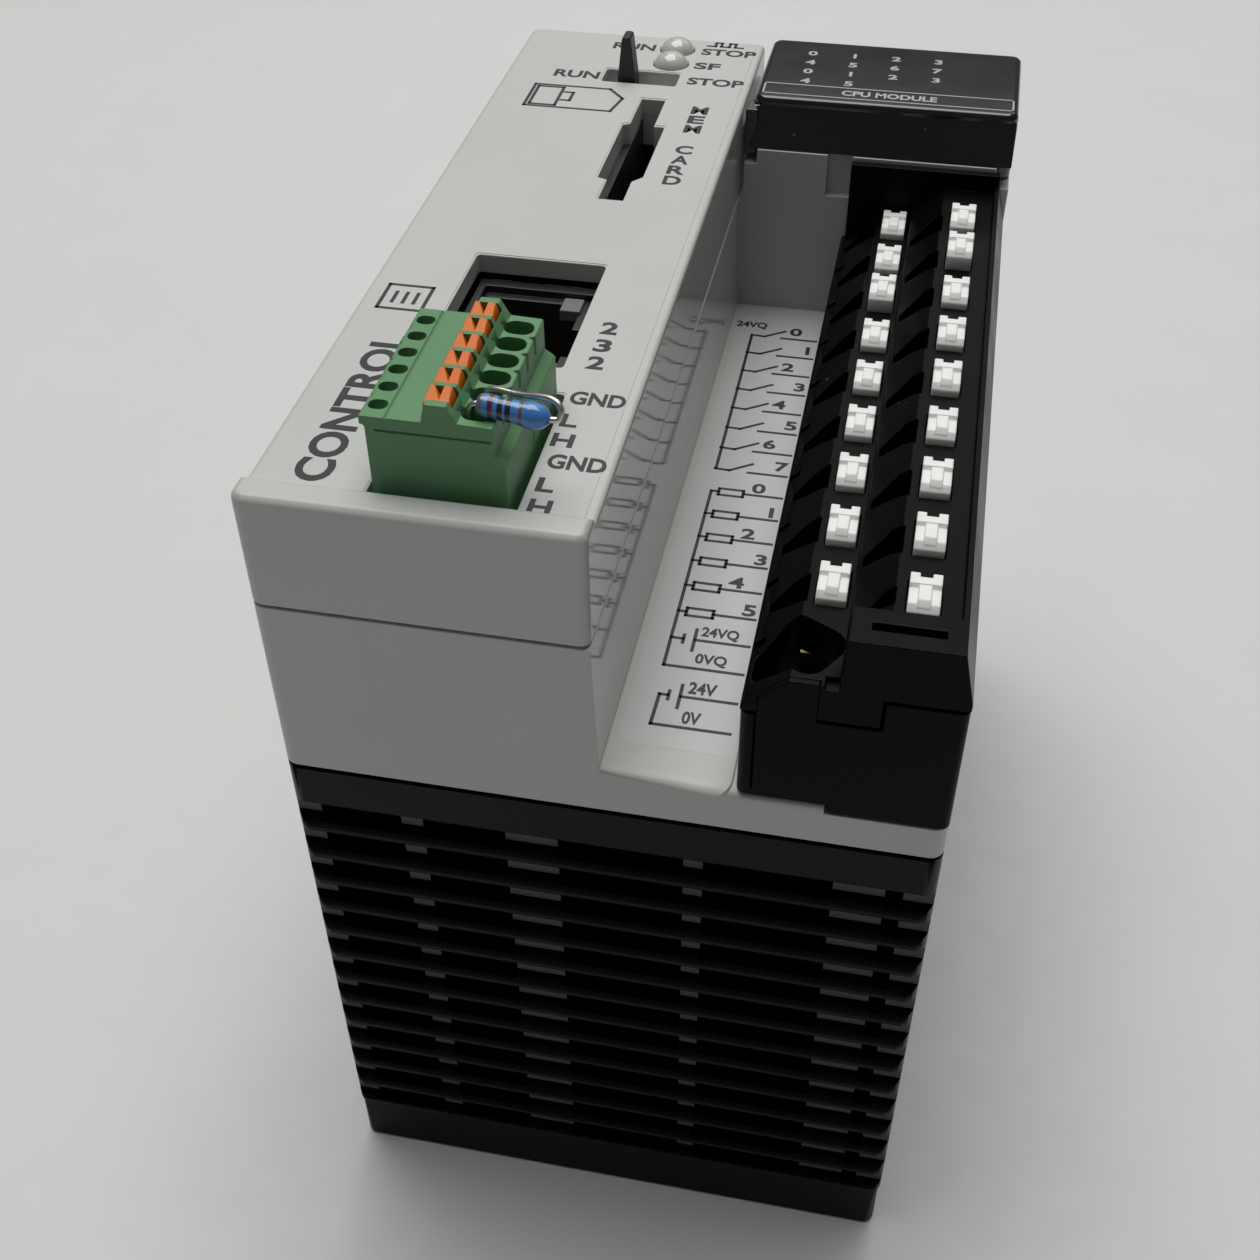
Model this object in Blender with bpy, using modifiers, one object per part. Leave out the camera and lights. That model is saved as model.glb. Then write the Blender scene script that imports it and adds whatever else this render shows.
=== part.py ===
"""Compact modular programmable controller: CPU with local inputs and outputs.

The module lies on its mounting face. The origin is the centre of that face, +Z points out of
the front, +Y points to the top end of the module and +X to the right, seen from the front.
All constants are in millimetres; MM turns them into Blender's metres.
"""

import math

import bmesh
import bpy
from mathutils import Matrix, Vector

MM = 0.001
OBJECT_NAME = "plc_module"

# Driving dimensions
HALF_WIDTH = 30.0
HALF_HEIGHT = 50.0
WALL = 1.8
GAP = 0.3
REACH = 5.0

# Levels above the mounting face
REAR_COVER_TOP = 6.7
BASE_BOTTOM = REAR_COVER_TOP + GAP
BASE_TOP = 63.2
FRAME_BOTTOM = BASE_TOP + GAP
RECESS_FLOOR = 68.0
FRAME_SPLIT = 82.6
CAP_BOTTOM = FRAME_SPLIT + GAP
CAP_TOP = 92.8
CAP_SKIN = CAP_TOP - WALL
RIM_TOP = 94.1
LABEL_LIFT = 0.15
LABEL_TOP = CAP_TOP + 0.4
FLOOR_LABEL_TOP = RECESS_FLOOR + 0.4
IO_END_TOP = 89.2
LED_COVER_BOTTOM = IO_END_TOP + GAP
LED_COVER_TOP = 94.0
SKIRT_BOTTOM = 86.6

# Plan layout
CPU_RIGHT = -0.3
CAP_RIGHT = -0.7
IO_END_Y = 30.4
LED_COVER_Y = 32.5
RIM_DEPTH = 3.1
RIM_INSET = 0.05

# Louvres in both ends of the base
LOUVRE_ROWS = 13
LOUVRE_PITCH = 4.0
LOUVRE_TOP = 58.3
LOUVRE_SLOT = 1.5
LOUVRE_SETBACK = 0.8
LOUVRE_UNDERCUT = 0.1
LOUVRE_COLUMNS = ((-27.6, -19.7), (-17.6, -9.6), (-4.6, 7.2), (9.0, 20.9), (25.6, 27.2))

# Terminal block: two tiers of nine spring clamps
BLOCK_LEFT = 11.7
BLOCK_SPLIT = 78.0
BLOCK_STEP = 81.1
BLOCK_BOTTOM = RECESS_FLOOR + GAP
BLOCK_FAR = IO_END_Y - GAP
BLOCK_FLOOR = 71.0
TIER_EDGE = 19.6
LEFT_TIER = 82.2
RIGHT_TIER = 86.4
RIM_LEVEL = 87.3
POLES = 9
POLE_PITCH = 8.05
LEFT_COLUMN = (17.75, 26.0, LEFT_TIER)
RIGHT_COLUMN = (25.25, 20.8, RIGHT_TIER)
LEFT_CONTACT_X = (15.6, 18.2)
RIGHT_CONTACT_X = (24.15, 26.55)
LEFT_CONTACT_TOP = 76.6
RIGHT_CONTACT_TOP = 80.0
CONTACT_RAIL = 1.4
LEVER_WIDTH = 2.7
LEVER_PIVOT = (-1.3, -0.9)
LEVER_SLOT_Y = (-2.25, 3.1)
RAISED_LEVERS = ("lever_left_3", "lever_right_2")
RAISED_BY = 0.8
ENTRY_OFFSET = 0.3
ENTRY_LENGTH = 3.0
SCREW_AT = (15.9, -45.9)
HEADER_X = (19.0, 22.0)
HEADER_Y = (-36.0, 20.0)

# Six-pole bus plug
PLUG_X = (-19.0, -7.8)
PLUG_Y = (-46.3, -30.0)
PLUG_BOTTOM = 86.0
PLUG_TOP = 100.5
PLUG_POLES = 6
PLUG_PITCH = 2.54
PLUG_FIRST_Y = -31.8
BUTTON_X = -13.3
BUTTON_BOTTOM = 98.0
BUTTON_TOP = 102.3
WIRE_HOLE_X = -10.3
TEST_HOLE_X = -18.2
RESISTOR_FROM = (-10.2, -44.5, 102.0)
RESISTOR_TO = (-4.4, -44.5, 101.4)
RESISTOR_RADIUS = 1.25
LEAD_RADIUS = 0.3

# Front openings
PLUG_OPENING_X = (-19.7, -7.2)
PLUG_OPENING_Y = (-46.7, -29.5)
JACK_OPENING_X = (-21.3, -8.4)
JACK_OPENING_Y = (-25.4, -7.0)
MODE_SLOT_X = (-18.2, -9.4)
MODE_SLOT_Y = (35.6, 39.2)
MODE_LEVER_AT = (-15.3, 37.3, 90.0)
STATUS_LED_AT = ((-11.0, 46.2), (-11.0, 41.9))
STATUS_LED_RADIUS = 2.0
CARD_SLOT = (
    (-12.5, 31.6), (-9.8, 31.6), (-9.8, 24.6), (-8.6, 24.6), (-8.6, 12.2), (-9.6, 11.0),
    (-9.6, 6.6), (-12.2, 6.6), (-12.2, 11.0), (-13.3, 11.4), (-13.3, 24.4), (-12.5, 24.9),
)

# Indicator windows under the dark cover, as columns in x and rows in y
GUIDE_COLUMNS = (6.0, 12.0, 18.0, 24.0)
GUIDE_ROWS = (46.6, 44.0, 41.4, 38.8)
GUIDE_COUNT = 14


def clear_scene():
    for item in list(bpy.data.objects):
        bpy.data.objects.remove(item, do_unlink=True)


def make_collection(name):
    group = bpy.data.collections.new(name)
    bpy.context.scene.collection.children.link(group)
    return group


def make_material(name, colour, roughness, metallic=0.0):
    material = bpy.data.materials.new(name)
    material.use_nodes = True
    shader = material.node_tree.nodes["Principled BSDF"]
    shader.inputs["Base Color"].default_value = (*colour, 1.0)
    shader.inputs["Roughness"].default_value = roughness
    shader.inputs["Metallic"].default_value = metallic
    return material


clear_scene()
PARTS = make_collection(OBJECT_NAME)
CUTTERS = make_collection("cutters")

BLACK = make_material("black_housing", (0.022, 0.024, 0.026), 0.55)
WHITE = make_material("light_grey_housing", (0.62, 0.63, 0.60), 0.5)
FOIL = make_material("front_foil", (0.68, 0.69, 0.66), 0.45)
GLOSS_BLACK = make_material("dark_window", (0.02, 0.02, 0.022), 0.12)
LEVER_WHITE = make_material("lever_white", (0.82, 0.82, 0.78), 0.4)
GREEN = make_material("plug_green", (0.16, 0.38, 0.17), 0.45)
ORANGE = make_material("button_orange", (0.85, 0.26, 0.03), 0.4)
RESISTOR_BLUE = make_material("resistor_blue", (0.06, 0.24, 0.62), 0.25)
TINNED = make_material("tinned_wire", (0.72, 0.70, 0.66), 0.25, 1.0)
STEEL = make_material("plated_steel", (0.60, 0.60, 0.58), 0.3, 1.0)
BRASS = make_material("contact_brass", (0.70, 0.52, 0.24), 0.35, 1.0)
BOARD = make_material("circuit_board", (0.03, 0.18, 0.08), 0.5)
CLEAR = make_material("clear_lens", (0.85, 0.87, 0.85), 0.08)
DARK_LEVER = make_material("switch_black", (0.03, 0.032, 0.034), 0.5)


def add_object(name, mesh, material=None, origin=(0.0, 0.0, 0.0)):
    """Link a mesh in world millimetres as a part, or as a hidden tool if it has no material."""
    mesh.transform(Matrix.Translation(-Vector(origin)))
    mesh.transform(Matrix.Scale(MM, 4))
    item = bpy.data.objects.new(name, mesh)
    item.location = Vector(origin) * MM
    if material:
        mesh.materials.append(material)
        PARTS.objects.link(item)
    else:
        item.hide_render = True
        item.display_type = "WIRE"
        CUTTERS.objects.link(item)
    return item


def finish_mesh(name, bm):
    mesh = bpy.data.meshes.new(name)
    bmesh.ops.recalc_face_normals(bm, faces=bm.faces)
    bm.to_mesh(mesh)
    bm.free()
    return mesh


def block_mesh(name, spans):
    """Separate boxes in one mesh, each given by its x, y and z spans."""
    bm = bmesh.new()
    for x, y, z in spans:
        low = Vector((x[0], y[0], z[0]))
        high = Vector((x[1], y[1], z[1]))
        place = Matrix.Translation((low + high) / 2) @ Matrix.Diagonal((*(high - low), 1.0))
        bmesh.ops.create_cube(bm, size=1.0, matrix=place)
    return finish_mesh(name, bm)


def cylinder_mesh(name, places, radius, span, segments):
    """Upright cylinders of one size in one mesh."""
    bm = bmesh.new()
    for x, y in places:
        centre = Vector((x, y, (span[0] + span[1]) / 2))
        bmesh.ops.create_cone(
            bm, cap_ends=True, segments=segments, radius1=radius, radius2=radius,
            depth=span[1] - span[0], matrix=Matrix.Translation(centre),
        )
    return finish_mesh(name, bm)


# Each axis turns a drawing's plane: the columns are its right, its up and its extrusion.
DRAWING_AXES = {
    "X": Matrix(((0, 0, 1), (1, 0, 0), (0, 1, 0))),
    "Y": Matrix(((1, 0, 0), (0, 0, -1), (0, 1, 0))),
    "Z": Matrix(((1, 0, 0), (0, 1, 0), (0, 0, 1))),
}


def outline_mesh(name, outlines, axis, span):
    """Closed outlines in the plane across an axis, filled and extruded over a span of it."""
    curve = bpy.data.curves.new(name, "CURVE")
    curve.dimensions = "2D"
    curve.fill_mode = "BOTH"
    curve.extrude = (span[1] - span[0]) / 2
    for points in outlines:
        spline = curve.splines.new("POLY")
        spline.points.add(len(points) - 1)
        for point, (right, up) in zip(spline.points, points):
            point.co = (right, up, 0.0, 1.0)
        spline.use_cyclic_u = True
    drawing = bpy.data.objects.new(name, curve)
    CUTTERS.objects.link(drawing)
    graph = bpy.context.evaluated_depsgraph_get()
    mesh = bpy.data.meshes.new_from_object(drawing.evaluated_get(graph))
    bpy.data.objects.remove(drawing, do_unlink=True)
    turn = DRAWING_AXES[axis]
    middle = Vector([(span[0] + span[1]) / 2 if letter == axis else 0.0 for letter in "XYZ"])
    bm = bmesh.new()
    bm.from_mesh(mesh)
    bmesh.ops.remove_doubles(bm, verts=bm.verts, dist=0.001)
    bmesh.ops.dissolve_limit(bm, angle_limit=math.radians(1), verts=bm.verts, edges=bm.edges)
    bmesh.ops.transform(bm, matrix=Matrix.Translation(middle) @ turn.to_4x4(), verts=bm.verts)
    return finish_mesh(name, bm)


def turned_part(name, profile, material, at, steps):
    """Turn a profile of (radius, height) points, listed from the top down, about Z."""
    bm = bmesh.new()
    points = [bm.verts.new((radius, 0.0, height)) for radius, height in profile]
    for upper, lower in zip(points, points[1:]):
        bm.edges.new((upper, lower))
    mesh = bpy.data.meshes.new(name)
    bm.to_mesh(mesh)
    bm.free()
    mesh.transform(Matrix.Translation(at))
    item = add_object(name, mesh, material, at)
    screw = item.modifiers.new("turn", "SCREW")
    screw.steps = steps
    screw.render_steps = steps
    screw.use_merge_vertices = True
    screw.merge_threshold = 0.00001
    return item


def combine(target, tool, operation):
    step = target.modifiers.new(tool.name, "BOOLEAN")
    step.operation = operation
    step.object = tool
    step.solver = "EXACT"


def cut_blocks(target, name, spans):
    combine(target, add_object(name, block_mesh(name, spans)), "DIFFERENCE")


def cut_outlines(target, name, outlines, axis, span):
    combine(target, add_object(name, outline_mesh(name, outlines, axis, span)), "DIFFERENCE")


def cut_cylinders(target, name, places, radius, span, segments):
    tool = add_object(name, cylinder_mesh(name, places, radius, span, segments))
    combine(target, tool, "DIFFERENCE")


def join_blocks(target, name, spans):
    combine(target, add_object(name, block_mesh(name, spans)), "UNION")


def grown(span, amount):
    return (span[0] - amount, span[1] + amount)


def pole_y(column, index):
    return column[1] - index * POLE_PITCH


def plug_pole_y(index):
    return PLUG_FIRST_Y - index * PLUG_PITCH


def louvre_outline():
    """Section of the base across X, with sloping slats on the near and the far end."""
    recess = HALF_HEIGHT - LOUVRE_SETBACK
    far_end = [(HALF_HEIGHT, BASE_TOP)]
    for row in range(LOUVRE_ROWS):
        top = LOUVRE_TOP - row * LOUVRE_PITCH
        far_end.append((HALF_HEIGHT, top))
        far_end.append((recess, top + LOUVRE_UNDERCUT))
        far_end.append((recess, top - LOUVRE_SLOT))
    far_end.append((HALF_HEIGHT, LOUVRE_TOP - LOUVRE_ROWS * LOUVRE_PITCH + LOUVRE_SLOT))
    far_end.append((HALF_HEIGHT, BASE_BOTTOM))
    near_end = [(-y, z) for y, z in reversed(far_end)]
    return far_end + near_end


def build_base():
    mesh = outline_mesh("base_housing", [louvre_outline()], "X", (-HALF_WIDTH, HALF_WIDTH))
    base = add_object("base_housing", mesh, BLACK)
    inner_y = (-HALF_HEIGHT + 2.2, HALF_HEIGHT - 2.2)
    inner_x = (-HALF_WIDTH + WALL, HALF_WIDTH - WALL)
    cut_blocks(base, "base_inside", [(inner_x, inner_y, (0.0, BASE_TOP + REACH))])
    slots = []
    ends = grown((-HALF_HEIGHT, HALF_HEIGHT), 1)
    for row in range(LOUVRE_ROWS):
        top = LOUVRE_TOP - row * LOUVRE_PITCH
        for column in LOUVRE_COLUMNS:
            slots.append((column, ends, (top - LOUVRE_SLOT + 0.05, top - 0.05)))
    cut_blocks(base, "louvre_slots", slots)


def build_rear_cover():
    foot = HALF_HEIGHT
    top = HALF_HEIGHT - 0.4
    section = [(-foot, 0.0), (foot, 0.0), (top, REAR_COVER_TOP), (-top, REAR_COVER_TOP)]
    mesh = outline_mesh("rear_cover", [section], "X", (-HALF_WIDTH + 0.2, HALF_WIDTH - 0.2))
    cover = add_object("rear_cover", mesh, BLACK)
    inner_x = (-HALF_WIDTH + 2.2, HALF_WIDTH - 2.2)
    inner_y = (-HALF_HEIGHT + 2.6, HALF_HEIGHT - 2.6)
    cut_blocks(cover, "rear_inside", [(inner_x, inner_y, (2.0, REAR_COVER_TOP + REACH))])
    cut_blocks(cover, "rear_connector_opening", [((-5.3, 5.3), (-22.3, 22.3), (-1.0, 2.5))])


def build_frame():
    """The light grey middle part: CPU block walls, recess floor and the raised far end."""
    whole = ((-HALF_WIDTH, HALF_WIDTH), (-HALF_HEIGHT, HALF_HEIGHT), (FRAME_BOTTOM, IO_END_TOP))
    frame = add_object("housing_frame", block_mesh("housing_frame", [whole]), WHITE)
    beyond = HALF_WIDTH + REACH
    lengthwise = grown((-HALF_HEIGHT, HALF_HEIGHT), REACH)
    above = IO_END_TOP + REACH
    cut_blocks(frame, "above_cpu", [((-beyond, CPU_RIGHT + 0.05), lengthwise, (FRAME_SPLIT, above))])
    cut_blocks(frame, "recess", [((CPU_RIGHT, beyond), (lengthwise[0], IO_END_Y), (RECESS_FLOOR, above + 1))])
    low = FRAME_BOTTOM - REACH
    inner_y = grown((-HALF_HEIGHT, HALF_HEIGHT), -WALL)
    cpu_x = (-HALF_WIDTH + WALL, CPU_RIGHT - WALL)
    cut_blocks(frame, "cpu_inside", [(cpu_x, inner_y, (low, above))])
    floor_x = (cpu_x[1] - 1, HALF_WIDTH - WALL)
    cut_blocks(frame, "under_floor", [(floor_x, grown(inner_y, -0.1), (low, RECESS_FLOOR - 2))])
    hollow_x = (CPU_RIGHT + 2, HALF_WIDTH - WALL - 1.4)
    hollow_y = (IO_END_Y + WALL, HALF_HEIGHT - WALL - 0.2)
    cut_blocks(frame, "far_end_inside", [(hollow_x, hollow_y, (low, IO_END_TOP - WALL))])
    window = ((GUIDE_COLUMNS[0] - 2, GUIDE_COLUMNS[-1] + 2), (GUIDE_ROWS[-1] - 2, GUIDE_ROWS[0] + 1))
    cut_blocks(frame, "guide_window", [(*window, (IO_END_TOP - 4, IO_END_TOP + 1))])
    skirt = ((28.4, HALF_WIDTH + 1), (IO_END_Y - 1, HALF_HEIGHT + 1), (SKIRT_BOTTOM - GAP, IO_END_TOP + 1))
    tab = ((CPU_RIGHT - 1, 1.2), (IO_END_Y - 1, 34.5), (84.9, IO_END_TOP + 1))
    latch = ((9.4, 12.2), (IO_END_Y - 1, IO_END_Y + 0.9), (83.7, IO_END_TOP + 1))
    cut_blocks(frame, "skirt_seat", [skirt])
    cut_blocks(frame, "tab_seat", [tab])
    cut_blocks(frame, "latch_channel", [latch])
    header = (grown(HEADER_X, 0.4), grown(HEADER_Y, 0.4), (RECESS_FLOOR - 3, RECESS_FLOOR + 1))
    cut_blocks(frame, "header_opening", [header])
    cut_cylinders(frame, "screw_hole", [SCREW_AT], 1.9, (RECESS_FLOOR - 3, RECESS_FLOOR + 1), 16)


def cut_front_openings(target, prefix, margin, span):
    """The openings that the cap and its foil share, larger by the margin in the foil."""
    cut_blocks(target, prefix + "_plug_and_jack", [
        (grown(PLUG_OPENING_X, margin), (PLUG_OPENING_Y[0], PLUG_OPENING_Y[1] + margin), span),
        (grown(JACK_OPENING_X, margin), grown(JACK_OPENING_Y, margin), span),
        (grown(MODE_SLOT_X, margin), grown(MODE_SLOT_Y, margin), span),
    ])
    cut_cylinders(target, prefix + "_leds", STATUS_LED_AT, STATUS_LED_RADIUS + 0.12, span, 20)
    middle_x = (CARD_SLOT[3][0] + CARD_SLOT[9][0]) / 2
    middle_y = (CARD_SLOT[0][1] + CARD_SLOT[6][1]) / 2
    slot = []
    for x, y in CARD_SLOT:
        slot.append((x + math.copysign(margin, x - middle_x), y + math.copysign(margin, y - middle_y)))
    cut_outlines(target, prefix + "_card_slot", [slot], "Z", span)


def build_cap():
    chamfer = 0.7
    section = [
        (-HALF_WIDTH, CAP_BOTTOM), (CAP_RIGHT, CAP_BOTTOM), (CAP_RIGHT, CAP_TOP - chamfer),
        (CAP_RIGHT - chamfer, CAP_TOP), (-HALF_WIDTH + chamfer, CAP_TOP), (-HALF_WIDTH, CAP_TOP - chamfer),
    ]
    mesh = outline_mesh("front_cap", [section], "Y", (-HALF_HEIGHT, HALF_HEIGHT))
    cap = add_object("front_cap", mesh, WHITE)
    near = -HALF_HEIGHT + RIM_INSET
    rim = [
        (near, CAP_TOP - 2), (near + RIM_DEPTH, CAP_TOP - 2), (near + RIM_DEPTH, RIM_TOP - 0.5),
        (near + RIM_DEPTH - 0.5, RIM_TOP), (near + 0.6, RIM_TOP), (near, RIM_TOP - 0.6),
    ]
    rim_mesh = outline_mesh("cap_rim", [rim], "X", grown((-HALF_WIDTH, CAP_RIGHT), -RIM_INSET))
    combine(cap, add_object("cap_rim", rim_mesh), "UNION")
    inner_x = (-HALF_WIDTH + WALL, CAP_RIGHT - WALL)
    inner_y = (-HALF_HEIGHT + WALL, HALF_HEIGHT - WALL)
    cut_blocks(cap, "cap_inside", [(inner_x, inner_y, (CAP_BOTTOM - 1, CAP_SKIN))])
    cut_front_openings(cap, "cap", 0.0, (CAP_SKIN - 1, RIM_TOP + 1))


def build_labels():
    foil = ((-29.0, -1.7), (-HALF_HEIGHT + RIM_DEPTH + 0.2, 49.4), (CAP_TOP + LABEL_LIFT, LABEL_TOP))
    front = add_object("front_foil", block_mesh("front_foil", [foil]), FOIL)
    cut_front_openings(front, "foil", 0.15, (CAP_TOP - 1, LABEL_TOP + 1))
    floor = ((0.5, 10.9), (-46.0, 29.8), (RECESS_FLOOR + LABEL_LIFT, FLOOR_LABEL_TOP))
    add_object("wiring_label", block_mesh("wiring_label", [floor]), FOIL)


def build_led_window():
    outer = ((0.3, HALF_WIDTH), (LED_COVER_Y, HALF_HEIGHT), (LED_COVER_BOTTOM, LED_COVER_TOP))
    cover = add_object("led_cover", block_mesh("led_cover", [outer]), GLOSS_BLACK)
    skirt = ((28.8, HALF_WIDTH), (LED_COVER_Y, HALF_HEIGHT), (SKIRT_BOTTOM, LED_COVER_BOTTOM + 1))
    tab = ((-0.4, 0.8), (LED_COVER_Y - 1.2, 34.0), (85.3, LED_COVER_BOTTOM + 2))
    join_blocks(cover, "cover_skirt", [skirt])
    join_blocks(cover, "cover_tab", [tab])
    inside_y = grown((LED_COVER_Y, HALF_HEIGHT), -1.5)
    cut_blocks(cover, "cover_inside", [((1.8, 28.4), inside_y, (LED_COVER_BOTTOM - 1, LED_COVER_TOP - 1.5))])
    board = ((2.6, 26.2), (36.0, 47.6), (82.0, 83.6))
    add_object("led_board", block_mesh("led_board", [board]), BOARD)
    plate = ((4.6, 25.4), (37.6, 47.2), (84.4, 85.6))
    guide = add_object("light_guide", block_mesh("light_guide", [plate]), CLEAR)
    places = [(x, y) for y in GUIDE_ROWS for x in GUIDE_COLUMNS][:GUIDE_COUNT]
    posts = cylinder_mesh("guide_posts", places, 0.9, (85.2, LED_COVER_TOP - 1.8), 8)
    combine(guide, add_object("guide_posts", posts), "UNION")


def entry_outline(right, centre):
    """A wire entry in plan: square at its clamp, tapering towards the recess."""
    return [
        (right, centre + 1.8), (right, centre - 1.8), (right - 1.1, centre - 1.3),
        (right - ENTRY_LENGTH, centre - 0.7), (right - ENTRY_LENGTH, centre + 0.3), (right - 1.1, centre + 1.7),
    ]


def build_block_cover():
    section = [
        (BLOCK_LEFT, BLOCK_SPLIT + GAP), (23.1, BLOCK_SPLIT + GAP), (23.1, BLOCK_STEP + GAP),
        (HALF_WIDTH, BLOCK_STEP + GAP), (HALF_WIDTH, 82.2),
        (28.9, RIM_LEVEL), (28.4, RIM_LEVEL), (28.4, RIGHT_TIER), (22.9, RIGHT_TIER),
        (TIER_EDGE, 83.6), (TIER_EDGE, LEFT_TIER), (15.5, LEFT_TIER),
        (12.7, 79.3), (12.0, 79.1), (BLOCK_LEFT, 78.8),
    ]
    mesh = outline_mesh("terminal_cover", [section], "Y", (-HALF_HEIGHT, BLOCK_FAR))
    cover = add_object("terminal_cover", mesh, BLACK)
    near = -HALF_HEIGHT
    join_blocks(cover, "near_end_bar", [((TIER_EDGE + 0.2, 28.6), (near, near + 2.9), (83.0, RIM_LEVEL))])
    join_blocks(cover, "far_end_bar", [((12.2, 28.9), (29.1, BLOCK_FAR), (82.5, 88.4))])
    join_blocks(cover, "far_end_web", [((12.2, 22.0), (29.1, BLOCK_FAR), (79.3, 87.9))])
    cut_blocks(cover, "tool_slot", [((21.4, 27.6), (near + 1.2, near + 2.1), (RIM_LEVEL - 1.6, RIM_LEVEL + 1))])
    for column, side in ((LEFT_COLUMN, "left"), (RIGHT_COLUMN, "right")):
        half = LEVER_WIDTH / 2 + 0.3
        slots = []
        entries = []
        for index in range(POLES):
            centre = pole_y(column, index)
            slot_y = (centre + LEVER_SLOT_Y[0], centre + LEVER_SLOT_Y[1])
            slots.append(((column[0] - half, column[0] + half), slot_y, (BLOCK_SPLIT - 1, RIM_LEVEL)))
            right = column[0] - half - 0.5
            entries.append(entry_outline(right, centre + ENTRY_OFFSET))
        cut_blocks(cover, side + "_lever_slots", slots)
        cut_outlines(cover, side + "_wire_entries", entries, "Z", (BLOCK_SPLIT - 1, RIM_LEVEL))
    cut_cylinders(cover, "screw_access", [SCREW_AT], 2.7, (BLOCK_SPLIT - 1, RIM_LEVEL), 20)


def build_block_base():
    section = [
        (BLOCK_LEFT, BLOCK_BOTTOM), (HALF_WIDTH, BLOCK_BOTTOM), (HALF_WIDTH, BLOCK_STEP),
        (23.4, BLOCK_STEP), (23.4, BLOCK_SPLIT), (BLOCK_LEFT, BLOCK_SPLIT),
    ]
    mesh = outline_mesh("terminal_base", [section], "Y", (-HALF_HEIGHT, BLOCK_FAR))
    base = add_object("terminal_base", mesh, BLACK)
    bay_z = (BLOCK_FLOOR, BLOCK_STEP + 1)
    cut_blocks(base, "left_clamp_bay", [((BLOCK_LEFT + 1.6, 20.0), (-42.6, BLOCK_FAR - 1.6), bay_z)])
    cut_blocks(base, "right_clamp_bay", [((19.4, 28.2), (-HALF_HEIGHT + 1.6, BLOCK_FAR - 1.6), bay_z)])
    header = (grown(HEADER_X, 0.4), grown(HEADER_Y, 0.4), (BLOCK_BOTTOM - 1, BLOCK_FLOOR + 1))
    cut_blocks(base, "header_mouth", [header])
    cut_cylinders(base, "screw_well", [SCREW_AT], 2.7, (BLOCK_FLOOR, BLOCK_SPLIT + 1), 20)
    cut_cylinders(base, "screw_bore", [SCREW_AT], 1.7, (BLOCK_BOTTOM - 1, BLOCK_FLOOR + 1), 16)


def comb_outline(column, low, high):
    """A contact strip seen from the side, with one upright clamp under each lever."""
    rail = low + CONTACT_RAIL
    back = [(pole_y(column, POLES - 1) - 2.2, low), (pole_y(column, 0) + 2.2, low)]
    teeth = []
    for index in range(POLES):
        centre = pole_y(column, index)
        for offset, level in ((1.9, rail), (1.9, high), (-1.9, high), (-1.9, rail)):
            teeth.append((centre + offset, level))
    return back + [(back[1][0], rail)] + teeth + [(back[0][0], rail)]


def build_contacts():
    low = BLOCK_FLOOR + GAP
    left = comb_outline(LEFT_COLUMN, low, LEFT_CONTACT_TOP)
    right = comb_outline(RIGHT_COLUMN, low, RIGHT_CONTACT_TOP)
    add_object("contact_strip_left", outline_mesh("contact_strip_left", [left], "X", LEFT_CONTACT_X), BRASS)
    add_object("contact_strip_right", outline_mesh("contact_strip_right", [right], "X", RIGHT_CONTACT_X), BRASS)


def lever_mesh():
    """One clamp lever about its own pivot, with its two horns at the far end."""
    side = [
        (-1.95, 1.0), (-1.95, -0.3), (-1.5, -2.0), (0.9, -2.0), (1.5, 0.0), (2.3, 0.6), (2.3, 1.5),
        (-1.2, 1.5), (-1.7, 1.35),
    ]
    half = LEVER_WIDTH / 2
    return outline_mesh("clamp_lever", [side], "X", (-half, half))


def build_levers():
    notch = add_object("lever_notch", block_mesh("lever_notch", [((-0.55, 0.55), (1.5, 4.0), (-1.0, 3.0))]))
    master = add_object("lever_master", lever_mesh())
    combine(master, notch, "DIFFERENCE")
    graph = bpy.context.evaluated_depsgraph_get()
    mesh = bpy.data.meshes.new_from_object(master.evaluated_get(graph))
    mesh.name = "clamp_lever"
    pivot = Vector((0.0, *LEVER_PIVOT)) * MM
    mesh.transform(Matrix.Translation(-pivot))
    mesh.materials.clear()
    mesh.materials.append(LEVER_WHITE)
    for column, side in ((LEFT_COLUMN, "left"), (RIGHT_COLUMN, "right")):
        for index in range(POLES):
            name = f"lever_{side}_{index + 1}"
            lever = bpy.data.objects.new(name, mesh)
            lift = RAISED_BY if name in RAISED_LEVERS else 0.0
            lever.location = Vector((column[0], pole_y(column, index), column[2] + lift)) * MM + pivot
            PARTS.objects.link(lever)


def build_block_screw():
    profile = [
        (0.0, 76.0), (0.7, 76.0), (0.7, 76.6), (2.2, 76.6), (2.2, 74.4), (1.3, 74.4), (1.3, 62.0), (0.9, 61.2),
        (0.0, 61.2),
    ]
    turned_part("fixing_screw", profile, STEEL, (*SCREW_AT, 0.0), 16)


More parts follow.
